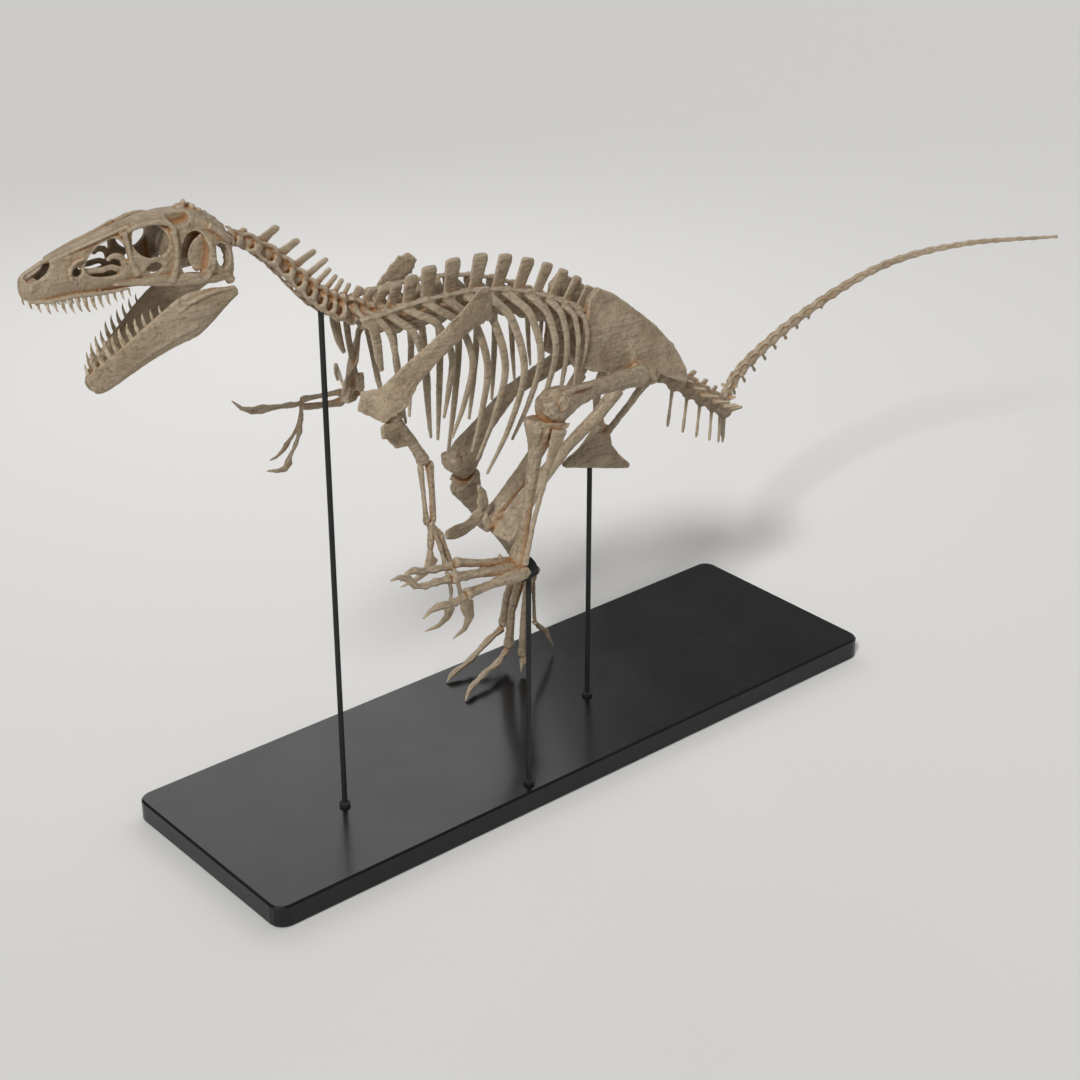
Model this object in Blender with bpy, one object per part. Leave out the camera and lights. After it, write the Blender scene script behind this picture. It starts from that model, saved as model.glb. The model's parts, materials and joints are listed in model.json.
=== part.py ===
"""Life-size mount of a mid-sized meat-eating dinosaur: bones, black base and rods.

Metres, +Z up. The origin is the centre of the base's underside, -X is the way the head points,
-Y is the animal's left side. Every bone is one closed solid, and bones that meet keep a thin gap.
"""

import math

import bmesh
import bpy
import numpy as np
from mathutils import Matrix, Vector

# Stand
BASE_LENGTH = 3.08
BASE_WIDTH = 0.97
BASE_HEIGHT = 0.093
BASE_CORNER = 0.055
BASE_EDGE = 0.008
ROD_RADIUS = 0.0105
ROD_FOOT_RADIUS = 0.022
ROD_FOOT_HEIGHT = 0.012

# General
GAP = 0.0003
MID_Y = -0.083
LEFT = -1
RIGHT = 1

# Backbone, as places of the centres of the vertebrae in the animal's middle plane (x, z)
NECK_PATH = [(-1.300, 2.432), (-1.235, 2.398), (-1.160, 2.340), (-1.090, 2.268), (-1.020, 2.190),
             (-0.945, 2.125), (-0.868, 2.078)]
BACK_PATH = [(-0.868, 2.078), (-0.790, 2.030), (-0.700, 1.992), (-0.590, 1.970), (-0.470, 1.968),
             (-0.350, 1.966), (-0.240, 1.950), (-0.140, 1.925), (-0.040, 1.890), (0.060, 1.845), (0.150, 1.795)]
SACRUM_PATH = [(0.150, 1.795), (0.290, 1.705), (0.430, 1.612), (0.560, 1.520), (0.660, 1.445)]
# Tail, which swings to the animal's right and comes back (x, y, z)
TAIL_PATH = [(0.660, -0.083, 1.445), (0.780, -0.082, 1.360), (0.920, -0.070, 1.262), (1.080, -0.020, 1.160),
             (1.220, 0.095, 1.070), (1.340, 0.225, 1.022), (1.580, 0.360, 1.075), (2.057, 0.450, 1.191),
             (2.540, 0.405, 1.335), (2.957, 0.270, 1.391), (3.470, 0.090, 1.367)]

NECK_LENGTHS = [0.066, 0.092, 0.080, 0.068, 0.058, 0.052, 0.047, 0.044, 0.042]
# The dorsal vertebrae are short at the shoulders and long in the middle of the back
BACK_LENGTHS = [0.052, 0.058, 0.068, 0.078, 0.088, 0.104, 0.110, 0.106, 0.104, 0.098, 0.086, 0.078, 0.072]
BACK_SPINES = [0.062, 0.072, 0.086, 0.104, 0.126, 0.144, 0.150, 0.152, 0.148, 0.142, 0.138, 0.132, 0.126]
BACK_SPLIT = 6
SACRUM_COUNT = 5
TAIL_COUNTS = [5, 5, 6, 6, 7, 8]

# Ribs, from the shoulders back: root (x, z), how far the widest place lies behind it, its reach, and the
# tip (x, distance from the middle plane, z)
RIB_ROOTS = [(-0.843, 2.070), (-0.797, 2.069), (-0.748, 2.072), (-0.676, 2.077), (-0.589, 2.078),
             (-0.498, 2.073), (-0.405, 2.065), (-0.322, 2.055), (-0.226, 2.033), (-0.120, 2.000),
             (-0.020, 1.955), (0.055, 1.916), (0.119, 1.879)]
RIB_SWEEPS = [0.028, 0.052, 0.112, 0.146, 0.146, 0.118, 0.104, 0.110, 0.098, 0.072, 0.040, 0.034, 0.028]
RIB_REACH = [0.122, 0.142, 0.162, 0.174, 0.182, 0.188, 0.192, 0.192, 0.187, 0.177, 0.162, 0.147, 0.132]
RIB_TIPS = [(-0.790, 0.112, 1.867), (-0.701, 0.122, 1.646), (-0.592, 0.122, 1.560), (-0.535, 0.127, 1.624),
            (-0.500, 0.127, 1.536), (-0.409, 0.127, 1.454), (-0.378, 0.117, 1.410), (-0.332, 0.117, 1.339),
            (-0.219, 0.127, 1.448), (-0.107, 0.127, 1.497), (0.007, 0.127, 1.547), (0.086, 0.127, 1.586),
            (0.121, 0.122, 1.629)]
RIB_WIDTHS = [0.042, 0.026, 0.028, 0.030, 0.030, 0.032, 0.034, 0.034, 0.032, 0.030, 0.026, 0.022, 0.018]
LEDGE_REACH = 0.104
LEDGE_WIDTH = 0.036
LEDGE_DEPTH = 0.019

# Skull: stations from snout to back of head (x, half width, roof z, lower edge z)
SKULL_STATIONS = [(-2.050, 0.016, 2.458, 2.405), (-2.030, 0.034, 2.478, 2.386), (-1.985, 0.043, 2.496, 2.378),
                  (-1.900, 0.050, 2.521, 2.376), (-1.800, 0.056, 2.540, 2.364), (-1.700, 0.066, 2.564, 2.360),
                  (-1.620, 0.080, 2.575, 2.352), (-1.550, 0.092, 2.577, 2.334), (-1.480, 0.101, 2.570, 2.322),
                  (-1.420, 0.104, 2.556, 2.312), (-1.370, 0.100, 2.525, 2.304), (-1.345, 0.094, 2.500, 2.306)]
SKULL_WALL = 0.020
SKULL_SIDES = 10
NOSTRIL = [(-2.028, 2.452), (-1.995, 2.480), (-1.955, 2.482), (-1.972, 2.452), (-2.005, 2.438)]
SNOUT_WINDOW = [(-1.850, 2.462), (-1.812, 2.505), (-1.745, 2.530), (-1.714, 2.510), (-1.712, 2.455),
                (-1.760, 2.428), (-1.825, 2.432)]
SNOUT_HOLE = [(-1.893, 2.452), (-1.880, 2.462), (-1.867, 2.452), (-1.880, 2.441)]
EYE_WINDOW = [(-1.682, 2.500), (-1.665, 2.545), (-1.620, 2.556), (-1.578, 2.532), (-1.572, 2.486),
              (-1.602, 2.455), (-1.650, 2.462)]
EYE_SLOT = [(-1.655, 2.430), (-1.625, 2.440), (-1.600, 2.418), (-1.628, 2.403)]
TEMPLE_WINDOW = [(-1.526, 2.470), (-1.490, 2.508), (-1.452, 2.495), (-1.440, 2.440), (-1.455, 2.385),
                 (-1.500, 2.362), (-1.530, 2.400)]
UPPER_TOOTH_COUNT = 14
UPPER_TOOTH_START = -2.036
UPPER_TOOTH_END = -1.715
UPPER_TOOTH_LENGTHS = [0.026, 0.034, 0.040, 0.034, 0.044, 0.048, 0.046, 0.050, 0.046, 0.042, 0.038, 0.034,
                       0.028, 0.022]

# Lower jaw: one side from the joint to the chin (x, distance from the middle plane, z, width, depth)
JAW_SIDE = [(-1.340, 0.083, 2.284, 0.030, 0.034), (-1.380, 0.086, 2.276, 0.034, 0.060),
            (-1.440, 0.087, 2.262, 0.030, 0.112), (-1.515, 0.084, 2.238, 0.028, 0.152),
            (-1.600, 0.074, 2.203, 0.030, 0.128), (-1.685, 0.058, 2.158, 0.032, 0.104),
            (-1.765, 0.038, 2.110, 0.034, 0.092), (-1.825, 0.018, 2.072, 0.032, 0.084),
            (-1.850, 0.006, 2.056, 0.026, 0.058)]
JAW_RINGS = 9
LOWER_TOOTH_COUNT = 11
LOWER_TOOTH_LENGTHS = [0.030, 0.040, 0.044, 0.046, 0.042, 0.046, 0.044, 0.040, 0.036, 0.030, 0.024]

# Shoulder blades, from the rear end of the blade to the front: x, distance from the middle plane, z,
# thickness and height
LEFT_BLADE = [(-0.368, 0.196, 2.070, 0.012, 0.110), (-0.396, 0.206, 2.052, 0.014, 0.172),
              (-0.505, 0.215, 2.004, 0.015, 0.100), (-0.622, 0.216, 1.942, 0.016, 0.084),
              (-0.730, 0.200, 1.866, 0.020, 0.092), (-0.790, 0.186, 1.796, 0.028, 0.118),
              (-0.825, 0.150, 1.758, 0.024, 0.128), (-0.876, 0.090, 1.770, 0.014, 0.076)]
LEFT_SOCKET = [(-0.772, 0.172, 1.764), (-0.774, 0.160, 1.700)]
RIGHT_BLADE = [(-0.404, 0.208, 2.118, 0.012, 0.050), (-0.432, 0.214, 2.092, 0.014, 0.096),
               (-0.500, 0.216, 2.046, 0.015, 0.092), (-0.590, 0.210, 1.980, 0.016, 0.080),
               (-0.672, 0.190, 1.888, 0.020, 0.078), (-0.716, 0.166, 1.800, 0.026, 0.092),
               (-0.752, 0.140, 1.752, 0.024, 0.112), (-0.806, 0.100, 1.744, 0.014, 0.074)]
RIGHT_SOCKET = [(-0.716, 0.152, 1.756), (-0.718, 0.140, 1.700)]
WISHBONE = [(-0.868, -0.072, 1.790), (-0.868, -0.052, 1.822), (-0.858, -0.016, 1.858),
            (-0.826, 0.036, 1.800), (-0.808, 0.050, 1.762)]

# Arms
LEFT_SHOULDER = (-0.776, -0.235, 1.684)
LEFT_ELBOW = (-0.636, -0.220, 1.480)
LEFT_WRIST = (-0.632, -0.240, 1.245)
RIGHT_SHOULDER = (-0.714, 0.066, 1.690)
RIGHT_ELBOW = (-0.678, 0.210, 1.615)
RIGHT_WRIST = (-0.862, 0.210, 1.636)

# Hips and legs
HIP_X = 0.412
HIP_Z = 1.556
HIP_REACH = 0.122
LEFT_KNEE = (-0.232, -0.431, 1.650)
LEFT_THIGH = [(0.120, -0.335, 1.616)]
LEFT_SHIN_TOP = (-0.246, -0.431, 1.610)
LEFT_ANKLE = (-0.378, -0.431, 1.072)
RIGHT_KNEE = (-0.160, 0.200, 1.172)
RIGHT_THIGH = [(0.300, 0.105, 1.545), (0.170, 0.130, 1.505), (0.045, 0.160, 1.425), (-0.060, 0.185, 1.305)]
RIGHT_SHIN_TOP = (-0.145, 0.197, 1.124)
RIGHT_ANKLE = (0.222, 0.230, 0.590)

ROD_FRONT_SPOT = (-0.962, -0.090)
ROD_LEG_SPOT = (-0.327, -0.431)
ROD_REAR_SPOT = (0.290, -0.077)
ROD_LEG_TOP = 1.050
# The cup of the leg rod lies round the heel of the raised foot: the two ends of its axis and its size
LEG_CUP = [(-0.316, -0.426, 1.042), (-0.374, -0.426, 1.036)]
LEG_CUP_SIZE = (0.100, 0.082)

# Colours, as linear red, green and blue
BONE_COLOUR = (0.33, 0.26, 0.185, 1.0)
BLACK_GLOSS = (0.008, 0.008, 0.009, 1.0)
BLACK_MATT = (0.012, 0.012, 0.012, 1.0)


def clear_scene():
    for item in list(bpy.data.objects):
        bpy.data.objects.remove(item, do_unlink=True)


def make_collection(name):
    collection = bpy.data.collections.new(name)
    bpy.context.scene.collection.children.link(collection)
    return collection


def make_material(name, colour, roughness, metallic):
    material = bpy.data.materials.new(name)
    material.use_nodes = True
    shader = material.node_tree.nodes["Principled BSDF"]
    shader.inputs["Base Color"].default_value = colour
    shader.inputs["Roughness"].default_value = roughness
    shader.inputs["Metallic"].default_value = metallic
    material.diffuse_color = colour
    return material


def object_from_bmesh(name, shape, collection):
    mesh = bpy.data.meshes.new(name)
    shape.to_mesh(mesh)
    shape.free()
    item = bpy.data.objects.new(name, mesh)
    collection.objects.link(item)
    return item


# Paths

def smooth_rows(keys, count, dense=16):
    """Rows evenly spaced along a smooth curve through the keys; extra columns follow along."""
    rows = np.array(keys, dtype=float)
    padded = np.vstack([2 * rows[0] - rows[1], rows, 2 * rows[-1] - rows[-2]])
    line = []
    for index in range(len(rows) - 1):
        before, start, end, after = padded[index:index + 4]
        for step in range(dense):
            t = step / dense
            line.append(0.5 * (2 * start + (end - before) * t
                               + (2 * before - 5 * start + 4 * end - after) * t * t
                               + (3 * start - before - 3 * end + after) * t ** 3))
    line.append(rows[-1])
    line = np.array(line)
    lengths = np.linalg.norm(np.diff(line[:, :3], axis=0), axis=1)
    along = np.concatenate([[0.0], np.cumsum(lengths)])
    wanted = np.linspace(0.0, along[-1], count)
    return np.stack([np.interp(wanted, along, column) for column in line.T], axis=1)


def closed_outline(points, count):
    """A smooth closed outline through a few points."""
    rows = [tuple(point) for point in points]
    looped = rows[-2:] + rows + rows[:3]
    dense = 12
    line = smooth_through(looped, dense)
    first = 2 * dense
    last = first + len(rows) * dense
    ring = line[first:last]
    keep = np.linspace(0, len(ring), count, endpoint=False).astype(int)
    return [tuple(ring[index]) for index in keep]


def smooth_through(points, dense):
    rows = np.array(points, dtype=float)
    padded = np.vstack([rows[0], rows, rows[-1]])
    line = []
    for index in range(len(rows) - 1):
        before, start, end, after = padded[index:index + 4]
        for step in range(dense):
            t = step / dense
            line.append(0.5 * (2 * start + (end - before) * t
                               + (2 * before - 5 * start + 4 * end - after) * t * t
                               + (3 * start - before - 3 * end + after) * t ** 3))
    return np.array(line)


def in_middle(points):
    return [(x, MID_Y, z) for x, z in points]


# Solids

def loft(name, rings, collection):
    """A closed solid through rings of points, with flat ends."""
    shape = bmesh.new()
    loops = [[shape.verts.new(point) for point in ring] for ring in rings]
    for near, far in zip(loops, loops[1:]):
        size = len(near)
        for index in range(size):
            after = (index + 1) % size
            shape.faces.new((near[index], near[after], far[after], far[index]))
    shape.faces.new(list(reversed(loops[0])))
    shape.faces.new(loops[-1])
    bmesh.ops.triangulate(shape, faces=shape.faces[:])
    bmesh.ops.recalc_face_normals(shape, faces=shape.faces[:])
    return object_from_bmesh(name, shape, collection)


def bone(name, keys, up=(0, 0, 1), sides=8, rings=None, turn=0.5):
    """A limb of changing oval section. Each key is x, y, z, width and depth; depth lies along up."""
    rows = np.array(keys, dtype=float) if rings is None else smooth_rows(keys, rings)
    up = Vector(up)
    centres = [Vector(row[:3]) for row in rows]
    loops = []
    for index, row in enumerate(rows):
        before = centres[max(index - 1, 0)]
        after = centres[min(index + 1, len(rows) - 1)]
        ahead = (after - before).normalized()
        side = ahead.cross(up).normalized()
        top = side.cross(ahead).normalized()
        loop = []
        for corner in range(sides):
            angle = 2 * math.pi * (corner + turn) / sides
            across = side * math.cos(angle) * row[3] / 2
            along = top * math.sin(angle) * row[4] / 2
            loop.append(centres[index] + across + along)
        loops.append(loop)
    return loft(name, loops, WORKBENCH)


def slab(name, outline, thickness, y_centre, bevel=0.0):
    """A flat plate cut to an outline of x and z, lying across the y direction."""
    curve = bpy.data.curves.new(name, "CURVE")
    curve.dimensions = "2D"
    curve.fill_mode = "BOTH"
    curve.extrude = thickness / 2 - bevel
    curve.bevel_depth = bevel
    curve.bevel_resolution = 0
    curve.offset = -bevel
    spline = curve.splines.new("POLY")
    spline.points.add(len(outline) - 1)
    for point, (x, z) in zip(spline.points, outline):
        point.co = (x, z, 0, 1)
    spline.use_cyclic_u = True
    drawn = bpy.data.objects.new(name + "_outline", curve)
    drawn.matrix_world = Matrix.Translation((0, y_centre, 0)) @ Matrix.Rotation(math.pi / 2, 4, "X")
    WORKBENCH.objects.link(drawn)
    bpy.context.view_layer.update()
    graph = bpy.context.evaluated_depsgraph_get()
    mesh = bpy.data.meshes.new_from_object(drawn.evaluated_get(graph))
    mesh.transform(drawn.matrix_world)
    bpy.data.objects.remove(drawn, do_unlink=True)
    shape = bmesh.new()
    shape.from_mesh(mesh)
    bpy.data.meshes.remove(mesh)
    bmesh.ops.remove_doubles(shape, verts=shape.verts[:], dist=0.00005)
    bmesh.ops.recalc_face_normals(shape, faces=shape.faces[:])
    return object_from_bmesh(name, shape, WORKBENCH)


def knob(name, centre, size, across=6, down=4):
    """A rounded lump of bone: a sphere stretched to its three sizes."""
    shape = bmesh.new()
    bmesh.ops.create_uvsphere(shape, u_segments=across, v_segments=down, radius=0.5)
    bmesh.ops.scale(shape, vec=Vector(size), verts=shape.verts[:])
    bmesh.ops.translate(shape, vec=Vector(centre), verts=shape.verts[:])
    return object_from_bmesh(name, shape, WORKBENCH)


def largest_body(item):
    """Keep only the closed surface that encloses the most."""
    shape = bmesh.new()
    shape.from_mesh(item.data)
    bmesh.ops.remove_doubles(shape, verts=shape.verts[:], dist=0.000001)
    bmesh.ops.triangulate(shape, faces=shape.faces[:])
    left = set(shape.faces)
    bodies = []
    while left:
        seed = left.pop()
        body = {seed}
        front = [seed]
        while front:
            face = front.pop()
            for edge in face.edges:
                for other in edge.link_faces:
                    if other in left:
                        left.remove(other)
                        body.add(other)
                        front.append(other)
        bodies.append(body)
    best = max(bodies, key=lambda body: abs(enclosed(body)))
    loose = [face for body in bodies if body is not best for face in body]
    bmesh.ops.delete(shape, geom=loose, context="FACES")
    shape.to_mesh(item.data)
    shape.free()


def enclosed(faces):
    total = 0.0
    for face in faces:
        a, b, c = (corner.co for corner in face.verts)
        total += a.dot(b.cross(c)) / 6
    return total


def run_boolean(item, operation, solver, tool=None, tools=None):
    modifier = item.modifiers.new(operation, "BOOLEAN")
    modifier.operation = operation
    modifier.solver = solver
    if tools is not None:
        modifier.operand_type = "COLLECTION"
        modifier.collection = tools
    else:
        modifier.object = tool
    bpy.context.view_layer.update()
    graph = bpy.context.evaluated_depsgraph_get()
    mesh = bpy.data.meshes.new_from_object(item.evaluated_get(graph))
    item.modifiers.clear()
    old = item.data
    item.data = mesh
    bpy.data.meshes.remove(old)


def fuse(name, pieces, solver="EXACT"):
    """One bone from several overlapping pieces, in its own node."""
    first = pieces[0]
    rest = pieces[1:]
    if rest:
        gathered = make_collection(name + "_pieces")
        for piece in rest:
            WORKBENCH.objects.unlink(piece)
            gathered.objects.link(piece)
        run_boolean(first, "UNION", solver, tools=gathered)
        for piece in rest:
            bpy.data.objects.remove(piece, do_unlink=True)
        bpy.data.collections.remove(gathered)
    largest_body(first)
    WORKBENCH.objects.unlink(first)
    SKELETON.objects.link(first)
    first.name = name
    first.data.name = name
    return first


def cut(item, tools, solver="EXACT"):
    """Take the tools out of a bone and remove them."""
    for tool in tools:
        tool.hide_render = True
        tool.display_type = "WIRE"
        run_boolean(item, "DIFFERENCE", solver, tool=tool)
        bpy.data.objects.remove(tool, do_unlink=True)
    largest_body(item)


def outward_step(vertex):
    """The shortest move that takes every face round a corner outwards by the gap."""
    move = Vector((0, 0, 0))
    for _ in range(24):
        worst = 0.0
        for face in vertex.link_faces:
            short = GAP - face.normal.dot(move)
            if short > 0:
                move += face.normal * short
                worst = max(worst, short)
        if worst < GAP * 0.01:
            break
    return move if move.length < GAP * 6 else move.normalized() * GAP * 6


def seat(item, neighbours, solver="EXACT"):
    """Shape a bone to the bones that it meets, a thin gap away from them."""
    for neighbour in neighbours:
        if not boxes_meet(item, neighbour):
            continue
        shape = bmesh.new()
        shape.from_mesh(neighbour.data)
        moves = [outward_step(vertex) for vertex in shape.verts]
        for vertex, move in zip(shape.verts, moves):
            vertex.co += move
        tool = object_from_bmesh(neighbour.name + "_clearance", shape, CUTTERS)
        cut(item, [tool], solver)


def boxes_meet(one, other):
    lows = []
    highs = []
    for item in (one, other):
        points = np.array([vertex.co[:] for vertex in item.data.vertices])
        lows.append(points.min(axis=0) - GAP)
        highs.append(points.max(axis=0) + GAP)
    return bool(np.all(lows[0] <= highs[1]) and np.all(lows[1] <= highs[0]))


def trim_below(item, height):
    """Cut a bone flat at a height and keep the part above it."""
    shape = bmesh.new()
    shape.from_mesh(item.data)
    whole = shape.verts[:] + shape.edges[:] + shape.faces[:]
    bmesh.ops.bisect_plane(shape, geom=whole, plane_co=(0, 0, height), plane_no=(0, 0, 1), clear_inner=True)
    rim = [edge for edge in shape.edges if edge.is_boundary]
    if rim:
        bmesh.ops.holes_fill(shape, edges=rim)
        bmesh.ops.triangulate(shape, faces=[face for face in shape.faces if len(face.verts) > 3])
    shape.to_mesh(item.data)
    shape.free()
    largest_body(item)


# Vertebrae

def column(tag, frames, radii, sides=6):
    """The drums of a run of vertebrae: wide where they meet, with a waist between."""
    rings = []
    for (centre, ahead, up, length), radius in zip(frames, radii):
        start = centre - ahead * length * 0.5
        rings.append((*start, 2 * radius, 2 * radius))
        rings.append((*centre, 1.5 * radius, 1.5 * radius))
    centre, ahead, up, length = frames[-1]
    rings.append((*(centre + ahead * length * 0.5), 2 * radii[-1], 2 * radii[-1]))
    return bone(tag, rings, (0, 0, 1), sides)


def vertebra(tag, frame, radius, spine=0.0, spine_length=0.04, spine_thick=0.012, lean=0.0, top_ring=False,
             wing=0.0, wing_rise=0.0, wing_width=0.030, chevron=0.0, prong=0.0, rib_bar=0.0):
    """What stands out from one vertebra: spine, side wings, chevron, forward prongs, neck ribs."""
    centre, ahead, up, length = frame
    side = ahead.cross(up).normalized()
    half = length * 0.5
    pieces = []
    if spine > 0:
        root = centre + up * radius * 0.4
        top = centre + up * (radius + spine) + ahead * lean
        blade = [(*root, spine_thick * 1.5, spine_length * 0.80)]
        if top_ring:
            blade.append((*root.lerp(top, 0.82), spine_thick * 1.2, spine_length))
            blade.append((*top, spine_thick, spine_length * 0.72))
        else:
            blade.append((*top, spine_thick, spine_length))
        pieces.append(bone(tag + "_spine", blade, ahead, 4))
    if wing > 0:
        bar = []
        for hand in (LEFT, 0, RIGHT):
            spot = centre + side * hand * wing
            spot += up * (wing_rise if hand else radius * 0.45)
            bar.append((*spot, wing_width * (0.8 if hand else 1.0), 0.012 if hand else radius * 0.9))
        pieces.append(bone(tag + "_wing", bar, up, 4))
    if chevron > 0:
        root = centre - up * radius * 0.3 + ahead * half * 0.7
        tip = centre - up * (radius + chevron) + ahead * (half + chevron * 0.55)
        hook = [(*root, 0.014, 0.020), (*tip, 0.009, 0.024)]
        pieces.append(bone(tag + "_chevron", hook, ahead, 4))
    if prong > 0:
        for hand in (LEFT, RIGHT):
            root = centre + up * radius * 0.4 + side * hand * radius * 0.35
            tip = centre + up * radius * 1.25 + side * hand * radius * 0.75 - ahead * prong
            spike = [(*root, radius * 0.8, radius * 0.8), (*tip, 0.004, 0.004)]
            pieces.append(bone(tag + "_prong", spike, up, 3))
    if rib_bar > 0:
        for hand in (LEFT, RIGHT):
            root = centre - up * radius * 0.3 + side * hand * radius * 0.3 - ahead * half * 0.3
            knee = centre - up * radius * 1.0 + side * hand * radius * 1.25
            tip = knee + ahead * rib_bar - up * radius * 0.25
            bar = [(*root, 0.020, 0.020), (*knee, 0.012, 0.014), (*tip, 0.004, 0.004)]
            pieces.append(bone(tag + "_rib", bar, up, 3))
    return pieces


def blend(low, high, share):
    return low + (high - low) * share


def path_frames(keys, lengths):
    """Vertebra frames along a path, with lengths in proportion to the ones given."""
    rows = smooth_rows(keys, 600)[:, :3]
    cuts = np.concatenate([[0.0], np.cumsum(lengths)])
    cuts = np.round(cuts / cuts[-1] * (len(rows) - 1)).astype(int)
    frames = []
    for first, last in zip(cuts, cuts[1:]):
        start = Vector(rows[first])
        end = Vector(rows[last])
        ahead = (end - start).normalized()
        up = (Vector((0, 0, 1)) - ahead * ahead.z).normalized()
        frames.append(((start + end) / 2, ahead, up, (end - start).length))
    return frames


def build_neck():
    frames = path_frames(in_middle(NECK_PATH), NECK_LENGTHS)
    radii = [blend(0.027, 0.036, index / (len(NECK_LENGTHS) - 1)) for index in range(len(NECK_LENGTHS))]
    half = len(NECK_LENGTHS) // 2
    groups = [[column("neck_a", frames[:half], radii[:half])],
              [column("neck_b", frames[half:], radii[half:])]]
    for index, frame in enumerate(frames):
        share = index / (len(NECK_LENGTHS) - 1)
        group = groups[0] if index < half else groups[1]
        group += vertebra("c%d" % index, frame, radii[index],
                          spine=0.050 + 0.034 * math.sin(math.pi * share) if index else 0.024,
                          spine_length=blend(0.028, 0.034, share), spine_thick=0.014, lean=0.012,
                          wing=blend(0.052, 0.080, share), wing_rise=blend(0.018, 0.050, share),
                          wing_width=0.036, rib_bar=0.078 if 0 < index < 8 else 0.0)
    return fuse("neck_front", groups[0]), fuse("neck_rear", groups[1])


def build_back():
    frames = path_frames(in_middle(BACK_PATH), BACK_LENGTHS)
    radii = [blend(0.036, 0.042, index / (len(frames) - 1)) for index in range(len(frames))]
    front = [column("back_a", frames[:BACK_SPLIT], radii[:BACK_SPLIT])]
    rear = [column("back_b", frames[BACK_SPLIT:], radii[BACK_SPLIT:])]
    for index, frame in enumerate(frames):
        group = front if index < BACK_SPLIT else rear
        root = RIB_ROOTS[index]
        centre = frame[0]
        group += vertebra("d%d" % index, frame, radii[index], spine=BACK_SPINES[index],
                          spine_length=frame[3] * 0.66, spine_thick=0.016, lean=0.012, top_ring=True)
        # The bar ends flat against the inner face of the ledge that carries the ribs
        reach = LEDGE_REACH - LEDGE_WIDTH * 0.5 * math.cos(math.pi / 4) - 1.2 * GAP
        ends = [(root[0], MID_Y + place, root[1], 0.034, 0.012) for place in
                (-reach, -reach + 0.010, reach - 0.010, reach)]
        bar = [ends[0], ends[1], (*(centre + frame[2] * 0.020), 0.044, 0.040), ends[2], ends[3]]
        group.append(bone("d%d_wing" % index, bar, (0, 0, 1), 4))
    return fuse("back_front", front), fuse("back_rear", rear)


def build_sacrum():
    frames = path_frames(in_middle(SACRUM_PATH), [1.0] * SACRUM_COUNT)
    radii = [blend(0.044, 0.040, index / (SACRUM_COUNT - 1)) for index in range(SACRUM_COUNT)]
    pieces = [column("sacrum", frames, radii)]
    for index, frame in enumerate(frames):
        share = index / (SACRUM_COUNT - 1)
        pieces += vertebra("s%d" % index, frame, radii[index], spine=blend(0.110, 0.085, share),
                           spine_length=frame[3] * 0.90, spine_thick=0.016,
                           wing=blend(0.098, 0.082, share), wing_rise=0.035, wing_width=0.060)
    return fuse("sacrum", pieces)


def build_tail():
    total = sum(TAIL_COUNTS)
    every = path_frames(TAIL_PATH, np.linspace(1.0, 0.62, total))
    nodes = []
    index = 0
    for segment, count in enumerate(TAIL_COUNTS):
        frames = every[index:index + count]
        radii = []
        pieces = []
        for frame in frames:
            share = index / (total - 1)
            radius = blend(0.038, 0.0065, share ** 0.72)
            spine = 0.052 * (1 - share / 0.46)
            wing = 0.125 * (1 - share / 0.40)
            chevron = 0.135 * (1 - share / 0.55)
            pieces += vertebra("t%d" % index, frame, radius, spine=spine if spine > 0.012 else 0.0,
                               spine_length=blend(0.040, 0.020, share), spine_thick=0.010, lean=0.030,
                               wing=wing if wing > 0.014 else 0.0, wing_rise=radius * 0.6,
                               wing_width=blend(0.026, 0.018, share),
                               chevron=chevron if chevron > 0.012 else 0.0,
                               prong=blend(0.020, 0.030, share) if share > 0.36 else 0.0)
            radii.append(radius)
            index += 1
        drums = column("tail", frames, radii, 6 if segment < 2 else 5)
        nodes.append(fuse("tail_%d" % (segment + 1), [drums] + pieces))
    return nodes


# Ribs

def rib_path(order, hand):
    root_x, root_z = RIB_ROOTS[order]
    tip_x, tip_reach, tip_z = RIB_TIPS[order]
    reach = RIB_REACH[order]
    width = RIB_WIDTHS[order]
    sweep = RIB_SWEEPS[order]
    drop = root_z - tip_z
    marks = [(root_x - 0.004, hand * (LEDGE_REACH - 0.006), root_z - 0.007, width * 0.75, 0.016),
             (root_x + sweep * 0.22, hand * blend(LEDGE_REACH, reach, 0.42), root_z - drop * 0.055 - 0.006,
              width * 0.90, 0.018),
             (root_x + sweep * 0.66, hand * blend(LEDGE_REACH, reach, 0.80), root_z - drop * 0.17,
              width, 0.017),
             (root_x + sweep, hand * reach, root_z - drop * 0.44, width, 0.016),
             (blend(root_x + sweep, tip_x, 0.40), hand * blend(reach, tip_reach, 0.40),
              root_z - drop * 0.74, width * 0.75, 0.013),
             (tip_x, hand * tip_reach, tip_z, width * 0.38, 0.008)]
    keys = [(x, MID_Y + y, z, deep, across) for x, y, z, across, deep in marks]
    return bone("rib_%d" % order, keys, (1, 0, 0), 4, rings=6)


def build_ribs(name, hand):
    roots = np.array(RIB_ROOTS)
    middles = (roots[:-1] + roots[1:]) / 2
    stops = [roots[0] * 1.5 - roots[1] * 0.5, *middles, roots[-1] * 1.5 - roots[-2] * 0.5]
    ledge = [(x, MID_Y + hand * LEDGE_REACH, z, LEDGE_WIDTH, LEDGE_DEPTH) for x, z in stops]
    pieces = [bone(name + "_ledge", ledge, (0, 0, 1), 4)]
    pieces += [rib_path(order, hand) for order in range(len(RIB_ROOTS))]
    return fuse(name, pieces)


# Head

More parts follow.
